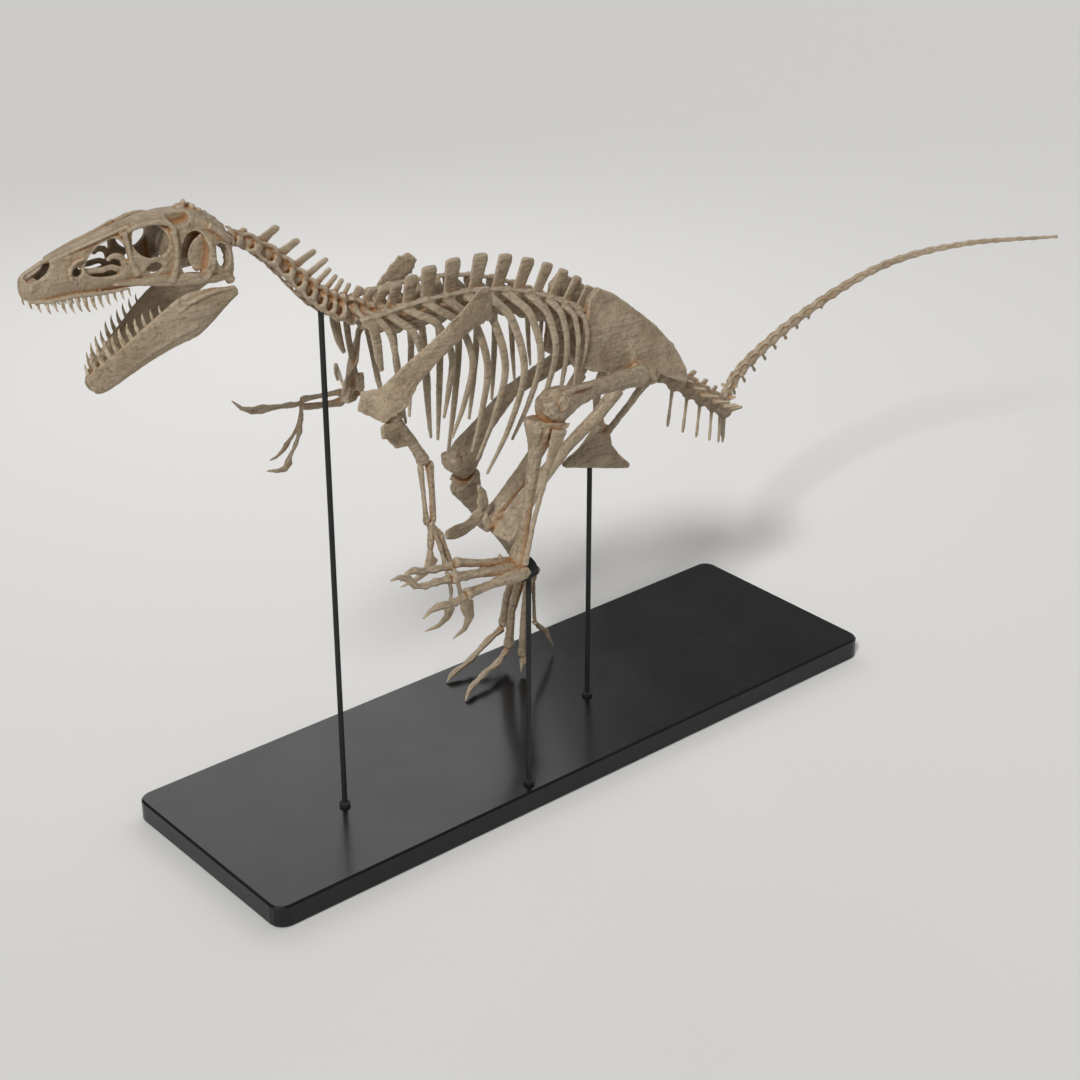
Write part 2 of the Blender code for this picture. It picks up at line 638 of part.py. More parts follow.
def skull_ring(station, swell):
    x, half, roof, floor = station
    middle = (roof + floor) / 2
    tall = (roof - floor) / 2
    ring = []
    for corner in range(SKULL_SIDES):
        angle = 2 * math.pi * (corner + 0.5) / SKULL_SIDES
        across = math.copysign(abs(math.cos(angle)) ** 0.62, math.cos(angle))
        rise = math.copysign(abs(math.sin(angle)) ** 0.72, math.sin(angle))
        narrow = 1.0 - 0.26 * max(rise, 0.0)
        ring.append(Vector((x, MID_Y + (half + swell) * across * narrow, middle + (tall + swell) * rise)))
    return ring


def station_at(x):
    rows = np.array(SKULL_STATIONS)
    return tuple(float(np.interp(x, rows[:, 0], rows[:, column])) for column in range(4))


def tooth(tag, root, down, back, length, width):
    """A flattened fang from its root in the jaw to its swept-back tip."""
    root = Vector(root)
    tip = root + down * length + back * length * 0.26
    keys = [(*(root - down * 0.008), width * 0.60, width), (*tip, 0.0016, 0.0020)]
    return bone(tag, keys, back, 3, turn=0.25)


def build_skull():
    shell = loft("skull_shell", [skull_ring(station, 0.0) for station in SKULL_STATIONS], WORKBENCH)
    front_room = [station_at(x) for x in (-2.005, -1.90, -1.78, -1.66, -1.565)]
    rear_room = [(x, half - SKULL_WALL * 1.2, 2.425, 2.20)
                 for x, half, roof, floor in (station_at(x) for x in (-1.60, -1.50, -1.40, -1.345))]
    rear_room.append((-1.30, 0.070, 2.425, 2.20))
    tools = [loft("snout_room", [skull_ring(station, -SKULL_WALL) for station in front_room], CUTTERS),
             loft("throat_room", [skull_ring(station, 0.0) for station in rear_room], CUTTERS)]
    for label, outline, count in (("nostril", NOSTRIL, 6), ("snout_window", SNOUT_WINDOW, 8),
                                  ("snout_hole", SNOUT_HOLE, 4), ("eye_window", EYE_WINDOW, 8),
                                  ("eye_slot", EYE_SLOT, 5)):
        tools.append(slab(label, closed_outline(outline, count), 0.4, MID_Y))
    for hand in (LEFT, RIGHT):
        tools.append(slab("temple_window", closed_outline(TEMPLE_WINDOW, 8), 0.10,
                          MID_Y + hand * (0.050 + 0.048)))
        tools.append(knob("roof_window", (-1.505, MID_Y + hand * 0.052, 2.570), (0.085, 0.050, 0.13), 6, 4))
    cut(shell, tools)
    pieces = [shell]
    roots = np.linspace(UPPER_TOOTH_START, UPPER_TOOTH_END, UPPER_TOOTH_COUNT)
    for hand in (LEFT, RIGHT):
        for index, x in enumerate(roots):
            _, half, _, floor = station_at(x)
            inset = 0.72 if index < 2 else 0.84
            root = (x, MID_Y + hand * half * inset, floor + 0.006)
            pieces.append(tooth("upper_tooth", root, Vector((-0.10, hand * 0.08, -0.99)), Vector((1, 0, 0)),
                                UPPER_TOOTH_LENGTHS[index], 0.014))
        quadrate = [(-1.405, MID_Y + hand * 0.086, 2.430, 0.030, 0.050),
                    (-1.375, MID_Y + hand * 0.086, 2.360, 0.026, 0.040),
                    (-1.352, MID_Y + hand * 0.084, 2.318, 0.040, 0.036)]
        pieces.append(bone("quadrate", quadrate, (1, 0, 0), 6))
        wing = [(-1.400, MID_Y + hand * 0.020, 2.475, 0.050, 0.030),
                (-1.345, MID_Y + hand * 0.085, 2.462, 0.030, 0.018)]
        pieces.append(bone("occiput_wing", wing, (0, 0, 1), 6))
    crest = [(-1.500, MID_Y, 2.562, 0.020, 0.024), (-1.455, MID_Y, 2.586, 0.012, 0.028),
             (-1.425, MID_Y, 2.560, 0.014, 0.030)]
    pieces.append(bone("crest", crest, (0, 0, 1), 6))
    pieces.append(knob("condyle", (-1.332, MID_Y, 2.448), (0.050, 0.046, 0.044)))
    return fuse("skull", pieces)


def build_jaw(skull):
    pieces = []
    for hand in (LEFT, RIGHT):
        side = [(x, MID_Y + hand * reach, z, width, depth) for x, reach, z, width, depth in JAW_SIDE]
        pieces.append(bone("jaw_side", side, (0, 0, 1), 6, rings=JAW_RINGS))
        rows = smooth_rows(side, 60)
        spots = np.linspace(56, 27, LOWER_TOOTH_COUNT).astype(int)
        for index, spot in enumerate(spots):
            row = rows[spot]
            ahead = Vector(rows[spot + 1][:3] - rows[spot - 1][:3]).normalized()
            up = (Vector((0, 0, 1)) - ahead * ahead.z).normalized()
            root = Vector(row[:3]) + up * (row[4] * 0.5 - 0.006)
            pieces.append(tooth("lower_tooth", root, up, -ahead, LOWER_TOOTH_LENGTHS[index], 0.014))
    chin = [(-1.800, MID_Y - 0.018, 2.086, 0.050, 0.060), (-1.800, MID_Y + 0.018, 2.086, 0.050, 0.060)]
    pieces.append(bone("chin", chin, (0, 0, 1), 6))
    jaw = fuse("lower_jaw", pieces)
    seat(jaw, [skull])
    return jaw


# Shoulders and arms

def mirrored(point, hand):
    return (point[0], MID_Y + hand * point[1], point[2])


def build_scapula(name, hand, blade, socket, neighbours):
    keys = [(x, MID_Y + hand * reach, z, width, depth) for x, reach, z, width, depth in blade]
    pieces = [bone(name, keys, (0.45, 0, 1), 6)]
    top, foot = (mirrored(point, hand) for point in socket)
    pieces.append(bone(name + "_socket", [(*top, 0.034, 0.070), (*foot, 0.050, 0.060)], (1, 0, 0), 6))
    scapula = fuse(name, pieces)
    seat(scapula, neighbours)
    return scapula


def build_wishbone(neighbours):
    keys = [(*point, 0.011, 0.013) for point in WISHBONE]
    wishbone = fuse("wishbone", [bone("wishbone", keys, (0, 0, 1), 5, rings=9)])
    seat(wishbone, neighbours)
    return wishbone


def long_bone(name, start, end, ends, shaft, up, bow=(0, 0, 0), sides=8):
    """A limb bone: a thick head, a slimmer bowed shaft and a thick foot."""
    start = Vector(start)
    end = Vector(end)
    bow = Vector(bow)
    marks = ((0.0, ends[0], 0.72), (0.07, ends[0], 1.0), (0.22, shaft, 1.25), (0.50, shaft, 1.0),
             (0.78, shaft, 1.15), (0.93, ends[1], 1.0), (1.0, ends[1], 0.75))
    keys = []
    for share, size, swell in marks:
        spot = start.lerp(end, share) + bow * math.sin(math.pi * share)
        keys.append((*spot, size[0] * swell, size[1] * swell))
    return bone(name, keys, up, sides)


def claw(points, width, depth):
    """A curved claw: deep at its root and drawn out to a point."""
    keys = []
    for index, point in enumerate(points):
        share = index / (len(points) - 1)
        keys.append((*point, blend(width, 0.004, share), blend(depth, 0.005, share)))
    return keys


def build_digit(name, joints, thick, claw_points, claw_size, neighbours):
    """A finger or toe: phalanges that swell at their joints, then a claw."""
    keys = []
    count = len(joints)
    for index, joint in enumerate(joints):
        size = thick * (1 - 0.09 * index)
        keys.append((*joint, size, size))
        if index < count - 1:
            middle = (Vector(joint) + Vector(joints[index + 1])) / 2
            keys.append((*middle, size * 0.66, size * 0.66))
    keys += claw(claw_points[1:], claw_size[0], claw_size[1])
    first = Vector(claw_points[0])
    last = Vector(claw_points[-1])
    bulge = Vector(claw_points[len(claw_points) // 2]) - (first + last) / 2
    digit = fuse(name, [bone(name, keys, bulge.normalized(), 5)])
    seat(digit, neighbours)
    return digit


def build_arm(side, hand, shoulder, elbow, wrist, digits, neighbours):
    shoulder = Vector(shoulder)
    elbow = Vector(elbow)
    wrist = Vector(wrist)
    nodes = []
    crest = [(*(shoulder + Vector((-0.010, 0, 0.004))), 0.020, 0.040),
             (*(shoulder + Vector((-0.024, 0, -0.030))), 0.016, 0.066),
             (*(shoulder.lerp(elbow, 0.36) + Vector((-0.030, 0, -0.018))), 0.016, 0.052),
             (*shoulder.lerp(elbow, 0.50), 0.018, 0.020)]
    humerus = fuse("humerus_" + side, [long_bone("humerus", shoulder, elbow, ((0.046, 0.056), (0.046, 0.054)),
                                                 (0.026, 0.030), (-1, 0, 0.3), bow=(0.010, 0, 0.014), sides=7),
                                       bone("arm_crest", crest, (-1, 0, -0.2), 4)])
    seat(humerus, neighbours)
    nodes.append(humerus)
    ahead = Vector((-1, 0, 0)) if side == "left" else Vector((0, 0, 1))
    gap = 0.019
    radius = fuse("radius_" + side, [long_bone("radius", elbow + ahead * gap, wrist + ahead * gap * 0.8,
                                               ((0.026, 0.026), (0.026, 0.028)), (0.015, 0.017), ahead,
                                               sides=6)])
    seat(radius, [humerus])
    ulna = fuse("ulna_" + side, [long_bone("ulna", elbow - ahead * gap * 1.1, wrist - ahead * gap * 0.7,
                                           ((0.032, 0.038), (0.024, 0.026)), (0.019, 0.024), ahead,
                                           bow=-ahead * 0.004, sides=6)])
    seat(ulna, [humerus, radius])
    nodes += [radius, ulna]
    palm = []
    for order, (joints, thick, points, size) in enumerate(digits):
        end = Vector(joints[0])
        keys = []
        for share, swell in ((0.0, 1.0), (0.5, 0.72), (1.0, 1.0)):
            spot = (wrist + (wrist - end).normalized() * 0.006).lerp(end, share)
            keys.append((*spot, thick * swell * 1.05, thick * swell * 1.05))
        palm.append(bone("palm_%d" % order, keys, (0.3, 0.2, 1), 4))
    palm = fuse("wrist_" + side, palm)
    seat(palm, [radius, ulna])
    nodes.append(palm)
    fingers = []
    for order, (joints, thick, points, size) in enumerate(digits):
        name = "finger_%s_%d" % (side, order + 1)
        fingers.append(build_digit(name, joints, thick, points, size, [palm] + fingers))
    return nodes + fingers


# Fingers: knuckles from the palm outwards, thickness, points of the claw, width and depth of the claw
LEFT_DIGITS = [
    ([(-0.630, -0.238, 1.172), (-0.633, -0.235, 1.112)], 0.030,
     [(-0.630, -0.235, 1.112), (-0.624, -0.235, 1.090), (-0.650, -0.235, 1.056), (-0.700, -0.235, 1.036),
      (-0.773, -0.235, 1.029)], (0.024, 0.062)),
    ([(-0.592, -0.248, 1.190), (-0.564, -0.250, 1.098), (-0.529, -0.255, 1.005), (-0.508, -0.260, 0.900)],
     0.028, [(-0.505, -0.260, 0.895), (-0.482, -0.260, 0.862), (-0.472, -0.260, 0.812), (-0.498, -0.260, 0.768),
             (-0.556, -0.260, 0.745)], (0.026, 0.070)),
    ([(-0.608, -0.262, 1.160), (-0.592, -0.270, 1.074), (-0.573, -0.280, 0.970), (-0.577, -0.280, 0.922)],
     0.020, [(-0.577, -0.280, 0.918), (-0.580, -0.280, 0.894), (-0.594, -0.280, 0.862), (-0.636, -0.280, 0.840),
             (-0.699, -0.280, 0.839)], (0.020, 0.054)),
]
RIGHT_DIGITS = [
    ([(-0.905, 0.206, 1.643), (-1.004, 0.200, 1.660)], 0.026,
     [(-1.006, 0.200, 1.661), (-1.034, 0.200, 1.664), (-1.080, 0.200, 1.670), (-1.124, 0.200, 1.692),
      (-1.160, 0.200, 1.730)], (0.022, 0.040)),
    ([(-0.866, 0.212, 1.582), (-0.875, 0.212, 1.526), (-0.895, 0.212, 1.484), (-0.924, 0.212, 1.441)], 0.022,
     [(-0.925, 0.212, 1.438), (-0.930, 0.212, 1.418), (-0.948, 0.212, 1.400), (-0.980, 0.212, 1.400),
      (-1.027, 0.212, 1.415)], (0.018, 0.038)),
    ([(-0.850, 0.236, 1.580), (-0.868, 0.242, 1.522), (-0.900, 0.244, 1.490)], 0.017,
     [(-0.901, 0.244, 1.488), (-0.915, 0.244, 1.474), (-0.934, 0.244, 1.456), (-0.960, 0.244, 1.440),
      (-0.992, 0.244, 1.435)], (0.014, 0.026)),
]


# Hips

ILIUM_OUTLINE = [(0.140, 1.640), (0.152, 1.720), (0.158, 1.840), (0.168, 1.905), (0.214, 1.938), (0.295, 1.896),
                 (0.427, 1.792), (0.520, 1.712), (0.632, 1.588), (0.690, 1.490), (0.694, 1.432), (0.620, 1.468),
                 (0.545, 1.510), (0.515, 1.478), (0.480, 1.488), (0.455, 1.545), (0.412, 1.578), (0.368, 1.560),
                 (0.352, 1.500), (0.312, 1.508), (0.262, 1.590), (0.190, 1.610)]
ILIUM_THICK = 0.024


def build_ilium(name, hand, neighbours):
    y_centre = MID_Y + hand * 0.108
    pieces = [slab(name, ILIUM_OUTLINE, ILIUM_THICK, y_centre)]
    for peduncle, low in (((0.332, 1.560), (0.330, 1.496)), ((0.500, 1.540), (0.500, 1.482))):
        keys = [(peduncle[0], y_centre + hand * 0.002, peduncle[1], 0.034, 0.050),
                (low[0], y_centre + hand * 0.004, low[1], 0.046, 0.056)]
        pieces.append(bone(name + "_peduncle", keys, (1, 0, 0), 6))
    ridge = [(0.400, y_centre + hand * 0.006, 1.590, 0.040, 0.040),
             (0.385, y_centre + hand * 0.004, 1.690, 0.026, 0.026),
             (0.372, y_centre + hand * 0.002, 1.800, 0.018, 0.014)]
    pieces.append(bone(name + "_ridge", ridge, (0, 1, 0), 4))
    ilium = fuse(name, pieces)
    seat(ilium, neighbours)
    return ilium


def build_pubis(neighbours):
    pieces = []
    for hand in (LEFT, RIGHT):
        keys = [(0.330, MID_Y + hand * 0.108, 1.500, 0.052, 0.060),
                (0.240, MID_Y + hand * 0.098, 1.418, 0.046, 0.052),
                (0.110, MID_Y + hand * 0.062, 1.305, 0.052, 0.046),
                (-0.020, MID_Y + hand * 0.046, 1.190, 0.078, 0.046),
                (-0.130, MID_Y + hand * 0.052, 1.092, 0.092, 0.052),
                (-0.196, MID_Y + hand * 0.058, 1.032, 0.104, 0.064),
                (-0.218, MID_Y + hand * 0.060, 1.012, 0.090, 0.052)]
        pieces.append(bone("pubis_side", keys, (0.6, 0, 0.8), 6))
    boot = [(-0.150, MID_Y, 1.058, 0.030, 0.060), (-0.236, MID_Y, 1.055, 0.030, 0.050),
            (-0.255, MID_Y, 1.100, 0.022, 0.036)]
    pieces.append(bone("pubis_keel", boot, (0, 0, 1), 6))
    pubis = fuse("pubis", pieces)
    seat(pubis, neighbours)
    return pubis


def build_belly_bone(neighbours):
    """The small curved bone that lies against the front of the pubis."""
    keys = [(-0.280, MID_Y, 1.234, 0.012, 0.014), (-0.262, MID_Y, 1.196, 0.014, 0.040),
            (-0.262, MID_Y, 1.150, 0.016, 0.062), (-0.300, MID_Y, 1.098, 0.018, 0.056),
            (-0.360, MID_Y, 1.074, 0.020, 0.056), (-0.418, MID_Y, 1.078, 0.020, 0.060),
            (-0.438, MID_Y, 1.078, 0.018, 0.040)]
    piece = fuse("belly_bone", [bone("belly_bone", keys, (0.5, 0, 1), 6, rings=8)])
    seat(piece, neighbours)
    return piece


def build_ischium(neighbours):
    pieces = []
    for hand in (LEFT, RIGHT):
        keys = [(0.494, MID_Y + hand * 0.110, 1.506, 0.044, 0.052),
                (0.452, MID_Y + hand * 0.110, 1.474, 0.032, 0.044),
                (0.406, MID_Y + hand * 0.100, 1.420, 0.026, 0.038),
                (0.378, MID_Y + hand * 0.062, 1.350, 0.026, 0.038),
                (0.360, MID_Y + hand * 0.016, 1.275, 0.026, 0.046)]
        pieces.append(bone("ischium_side", keys, (1, 0, 0.3), 5))
    fan = [(0.318, 1.312), (0.284, 1.282), (0.236, 1.238), (0.149, 1.200), (0.150, 1.184), (0.280, 1.146),
           (0.400, 1.108), (0.484, 1.084), (0.494, 1.100), (0.432, 1.160), (0.392, 1.215), (0.378, 1.300)]
    pieces.append(slab("ischium_fan", fan, 0.026, MID_Y))
    ischium = fuse("ischium", pieces)
    seat(ischium, neighbours)
    return ischium


# Legs

def build_femur(name, hand, knee, middle, neighbours):
    """The thigh bone through its way points: a ball in the hip, a bowed shaft and a wide knee."""
    hip = Vector(mirrored((HIP_X, HIP_REACH, HIP_Z), hand))
    top = hip + Vector((-0.030, hand * 0.052, 0.004))
    line = smooth_rows([top] + [Vector(point) for point in middle] + [Vector(knee)], 41)
    sizes = ((0, 0.060, 0.086), (6, 0.060, 0.076), (19, 0.056, 0.062), (29, 0.072, 0.084),
             (35, 0.110, 0.134), (39, 0.124, 0.144), (40, 0.118, 0.130))
    keys = [(*line[index], width, depth) for index, width, depth in sizes]
    first = Vector(line[0]) - (Vector(line[6]) - Vector(line[0])).normalized() * 0.045
    last = Vector(line[40]) + (Vector(line[40]) - Vector(line[36])).normalized() * 0.022
    keys = [(*first, 0.040, 0.060)] + keys + [(*last, 0.092, 0.098)]
    pieces = [bone(name, keys, (-0.35, 0, 1), 8)]
    ball = []
    for reach, size in ((-0.040, 0.046), (-0.026, 0.084), (0.000, 0.094), (0.024, 0.074), (0.056, 0.060)):
        ball.append((*(hip + Vector((-0.4 * max(reach, 0), hand * reach, 0))), size, size))
    pieces.append(bone(name + "_head", ball, (0, 0, 1), 8))
    femur = fuse(name, pieces)
    seat(femur, neighbours)
    return femur


def build_shin(side, hand, top, ankle, head, femur, rest):
    top = Vector(top)
    ankle = Vector(ankle)
    along = (ankle - top).normalized()
    ahead = Vector((-1, 0, 0)) - along * Vector((-1, 0, 0)).dot(along)
    ahead.normalize()
    out = Vector((0, hand, 0)) - along * along.y * hand
    out.normalize()
    keys = []
    for share, width, depth, push in ((0.0, 0.112 * head, 0.172 * head, -0.006),
                                      (0.04, 0.112 * head, 0.190 * head, -0.006),
                                      (0.13, 0.080 * head, 0.138 * head, 0.004), (0.26, 0.056, 0.080, 0.010),
                                      (0.58, 0.048, 0.056, 0.0), (0.84, 0.060, 0.058, -0.004),
                                      (0.95, 0.092, 0.068, -0.006), (1.0, 0.086, 0.062, -0.006)):
        spot = top.lerp(ankle, share) + ahead * push - out * 0.006
        keys.append((*spot, width, depth))
    tibia = fuse("tibia_" + side, [bone("tibia", keys, ahead, 10)])
    seat(tibia, [femur] + rest)
    start = top + along * 0.020 + out * 0.064 - ahead * 0.020
    end = ankle - along * 0.012 + out * 0.044 + ahead * 0.006
    strut = []
    for share, width, depth in ((0.0, 0.026, 0.078), (0.12, 0.022, 0.060), (0.30, 0.018, 0.028),
                                (0.65, 0.015, 0.020), (0.92, 0.020, 0.024), (1.0, 0.024, 0.030)):
        pull = -out * 0.014 * math.sin(math.pi * min(share, 1.0))
        strut.append((*(start.lerp(end, share) + pull), width, depth))
    fibula = fuse("fibula_" + side, [bone("fibula", strut, ahead, 6)])
    seat(fibula, [femur, tibia])
    return tibia, fibula


def foot_bone(name, points, thick, up):
    """One long foot bone through its ends and middle, with a knuckle at the far end."""
    keys = [(*points[0], thick, thick * 1.1), (*points[1], thick * 0.70, thick * 0.74),
            (*Vector(points[1]).lerp(Vector(points[2]), 0.72), thick * 0.82, thick * 0.86),
            (*Vector(points[1]).lerp(Vector(points[2]), 0.92), thick * 1.10, thick * 1.16),
            (*points[2], thick * 0.86, thick * 0.90)]
    return bone(name, keys, up, 6)


LEFT_FOOT_BONES = [
    [(-0.398, -0.396, 1.070), (-0.523, -0.390, 1.106), (-0.640, -0.388, 1.146)],
    [(-0.400, -0.431, 1.058), (-0.556, -0.431, 1.092), (-0.690, -0.431, 1.118)],
    [(-0.390, -0.462, 1.040), (-0.535, -0.472, 1.056), (-0.660, -0.474, 1.056)],
]
RIGHT_FOOT_BONES = [
    [(0.206, 0.196, 0.560), (0.214, 0.244, 0.350), (0.222, 0.262, 0.160)],
    [(0.196, 0.236, 0.560), (0.196, 0.300, 0.370), (0.206, 0.334, 0.180)],
    [(0.206, 0.276, 0.560), (0.214, 0.356, 0.410), (0.246, 0.416, 0.240)],
]
HEEL_SPLINTS = {"left": [(-0.372, -0.400, 1.030), (-0.440, -0.398, 1.060), (-0.500, -0.396, 1.078)],
                "right": [(0.262, 0.240, 0.545), (0.276, 0.250, 0.420), (0.290, 0.262, 0.310)]}


def build_metatarsus(side, hand, ankle, lines, neighbours):
    """Ankle block and three long foot bones side by side, with a splint behind them."""
    ankle = Vector(ankle)
    along = (Vector(lines[1][2]) - ankle).normalized()
    out = Vector((0, hand, 0)) - along * along.y * hand
    out.normalize()
    front = out.cross(along).normalized()
    block = [(*(ankle - out * 0.046), 0.050, 0.062), (*(ankle + out * 0.046), 0.050, 0.062)]
    pieces = [bone("ankle_block", block, along, 6)]
    for order, points in enumerate(lines):
        pieces.append(foot_bone("foot_bone_%d" % order, points, 0.046 if order else 0.040, front))
    if side == "left":
        spur = [(*(ankle + Vector((-0.030, 0.020, 0.000))), 0.036, 0.060),
                (*(ankle + Vector((-0.062, 0.030, 0.074))), 0.008, 0.010)]
        pieces.append(bone("spur", spur, (1, 0, 0), 4))
    else:
        heel = [(*(ankle + Vector((0.020, 0.006, 0.010))), 0.044, 0.060),
                (*(ankle + Vector((0.070, 0.006, -0.020))), 0.026, 0.034)]
        pieces.append(bone("heel", heel, (0, 0, 1), 6))
    splint = [(*point, size, size) for point, size in zip(HEEL_SPLINTS[side], (0.024, 0.016, 0.020))]
    pieces.append(bone("splint", splint, front, 5))
    foot = fuse("metatarsus_" + side, pieces)
    seat(foot, neighbours)
    return foot


# Toes: knuckles from the root outwards, then the points of the claw
LEFT_TOES = [
    ([(-0.654, -0.386, 1.136), (-0.722, -0.376, 1.142), (-0.782, -0.372, 1.152)],
     [(-0.784, -0.372, 1.153), (-0.806, -0.371, 1.164), (-0.838, -0.370, 1.162), (-0.871, -0.370, 1.138)]),
    ([(-0.700, -0.431, 1.116), (-0.762, -0.436, 1.128), (-0.812, -0.440, 1.130), (-0.858, -0.440, 1.146)],
     [(-0.860, -0.440, 1.148), (-0.888, -0.440, 1.186), (-0.926, -0.440, 1.204), (-0.965, -0.440, 1.202)]),
    ([(-0.668, -0.476, 1.052), (-0.710, -0.480, 1.046), (-0.750, -0.480, 1.050)],
     [(-0.752, -0.480, 1.050), (-0.785, -0.480, 1.056), (-0.824, -0.480, 1.050), (-0.857, -0.480, 1.030)]),
]
RIGHT_TOES = [
    ([(0.226, 0.256, 0.160), (0.214, 0.246, 0.146)],
     [(0.213, 0.245, 0.146), (0.204, 0.240, 0.142), (0.194, 0.234, 0.130), (0.186, 0.228, 0.110)]),
    ([(0.196, 0.338, 0.160), (0.105, 0.290, 0.152), (0.014, 0.270, 0.144), (-0.048, 0.252, 0.130)],
     [(-0.050, 0.251, 0.130), (-0.078, 0.240, 0.128), (-0.104, 0.226, 0.116), (-0.130, 0.210, 0.098)]),
    ([(0.240, 0.420, 0.222), (0.156, 0.412, 0.196), (0.050, 0.400, 0.146), (-0.028, 0.392, 0.128)],
     [(-0.030, 0.392, 0.127), (-0.052, 0.389, 0.122), (-0.074, 0.386, 0.112), (-0.096, 0.380, 0.098)]),
]
SMALL_TOES = {"left": ([(-0.510, -0.396, 1.080), (-0.560, -0.394, 1.078)],
                       [(-0.562, -0.394, 1.078), (-0.580, -0.392, 1.070), (-0.594, -0.390, 1.056)]),
              "right": ([(0.290, 0.262, 0.300), (0.320, 0.272, 0.268)],
                        [(0.322, 0.273, 0.266), (0.378, 0.290, 0.212), (0.428, 0.300, 0.120)])}


def build_toes(side, toes, foot):
    built = []
    for order, (joints, points) in enumerate(toes):
        name = "toe_%s_%d" % (side, order + 2)
        built.append(build_digit(name, joints, 0.036, points, (0.024, 0.030), [foot] + built))
    joints, points = SMALL_TOES[side]
    built.append(build_digit("toe_%s_1" % side, joints, 0.026, points, (0.020, 0.026), [foot] + built))
    return built


# Stand

def build_base():
    """A low black slab with rounded upright corners and a small chamfer round both rims."""
    shape = bmesh.new()
    bmesh.ops.create_cube(shape, size=1.0)
    bmesh.ops.scale(shape, vec=(BASE_LENGTH, BASE_WIDTH, BASE_HEIGHT), verts=shape.verts[:])
    bmesh.ops.translate(shape, vec=(0, 0, BASE_HEIGHT / 2), verts=shape.verts[:])
    upright = [edge for edge in shape.edges
               if abs(edge.verts[0].co.z - edge.verts[1].co.z) > BASE_HEIGHT / 2]
    bmesh.ops.bevel(shape, geom=upright, offset=BASE_CORNER, segments=4, profile=0.5, affect="EDGES")
    rims = [edge for edge in shape.edges if abs(edge.verts[0].co.z - edge.verts[1].co.z) < 0.001]
    bmesh.ops.bevel(shape, geom=rims, offset=BASE_EDGE, segments=1, profile=0.5, affect="EDGES")
    return object_from_bmesh("stand_base", shape, SKELETON)


def rod_piece(spot, top):
    foot = BASE_HEIGHT + GAP
    keys = [(spot[0], spot[1], foot, 2 * ROD_FOOT_RADIUS, 2 * ROD_FOOT_RADIUS),
            (spot[0], spot[1], foot + ROD_FOOT_HEIGHT, 2 * ROD_FOOT_RADIUS, 2 * ROD_FOOT_RADIUS),
            (spot[0], spot[1], foot + ROD_FOOT_HEIGHT + 0.006, 2 * ROD_RADIUS, 2 * ROD_RADIUS),
            (spot[0], spot[1], top, 2 * ROD_RADIUS, 2 * ROD_RADIUS)]
    return bone("rod", keys, (0, 1, 0), 10)


def build_rod(name, spot, top, neighbours, cup=None):
    """An upright rod, with a cup round the limb that it holds where one is given."""
    pieces = [rod_piece(spot, top)]
    if cup is not None:
        pieces.append(bone("cup", [(*end, *LEG_CUP_SIZE) for end in cup], (0, 0, 1), 12))
    rod = fuse(name, pieces)
    seat(rod, neighbours)
    return rod


def paint(items, stem, colour, roughness, metallic):
    for item in items:
        item.data.materials.clear()
        item.data.materials.append(make_material("%s_%s" % (stem, item.name), colour, roughness, metallic))
        item.data.shade_smooth()
        item.data.set_sharp_from_angle(angle=math.radians(35))


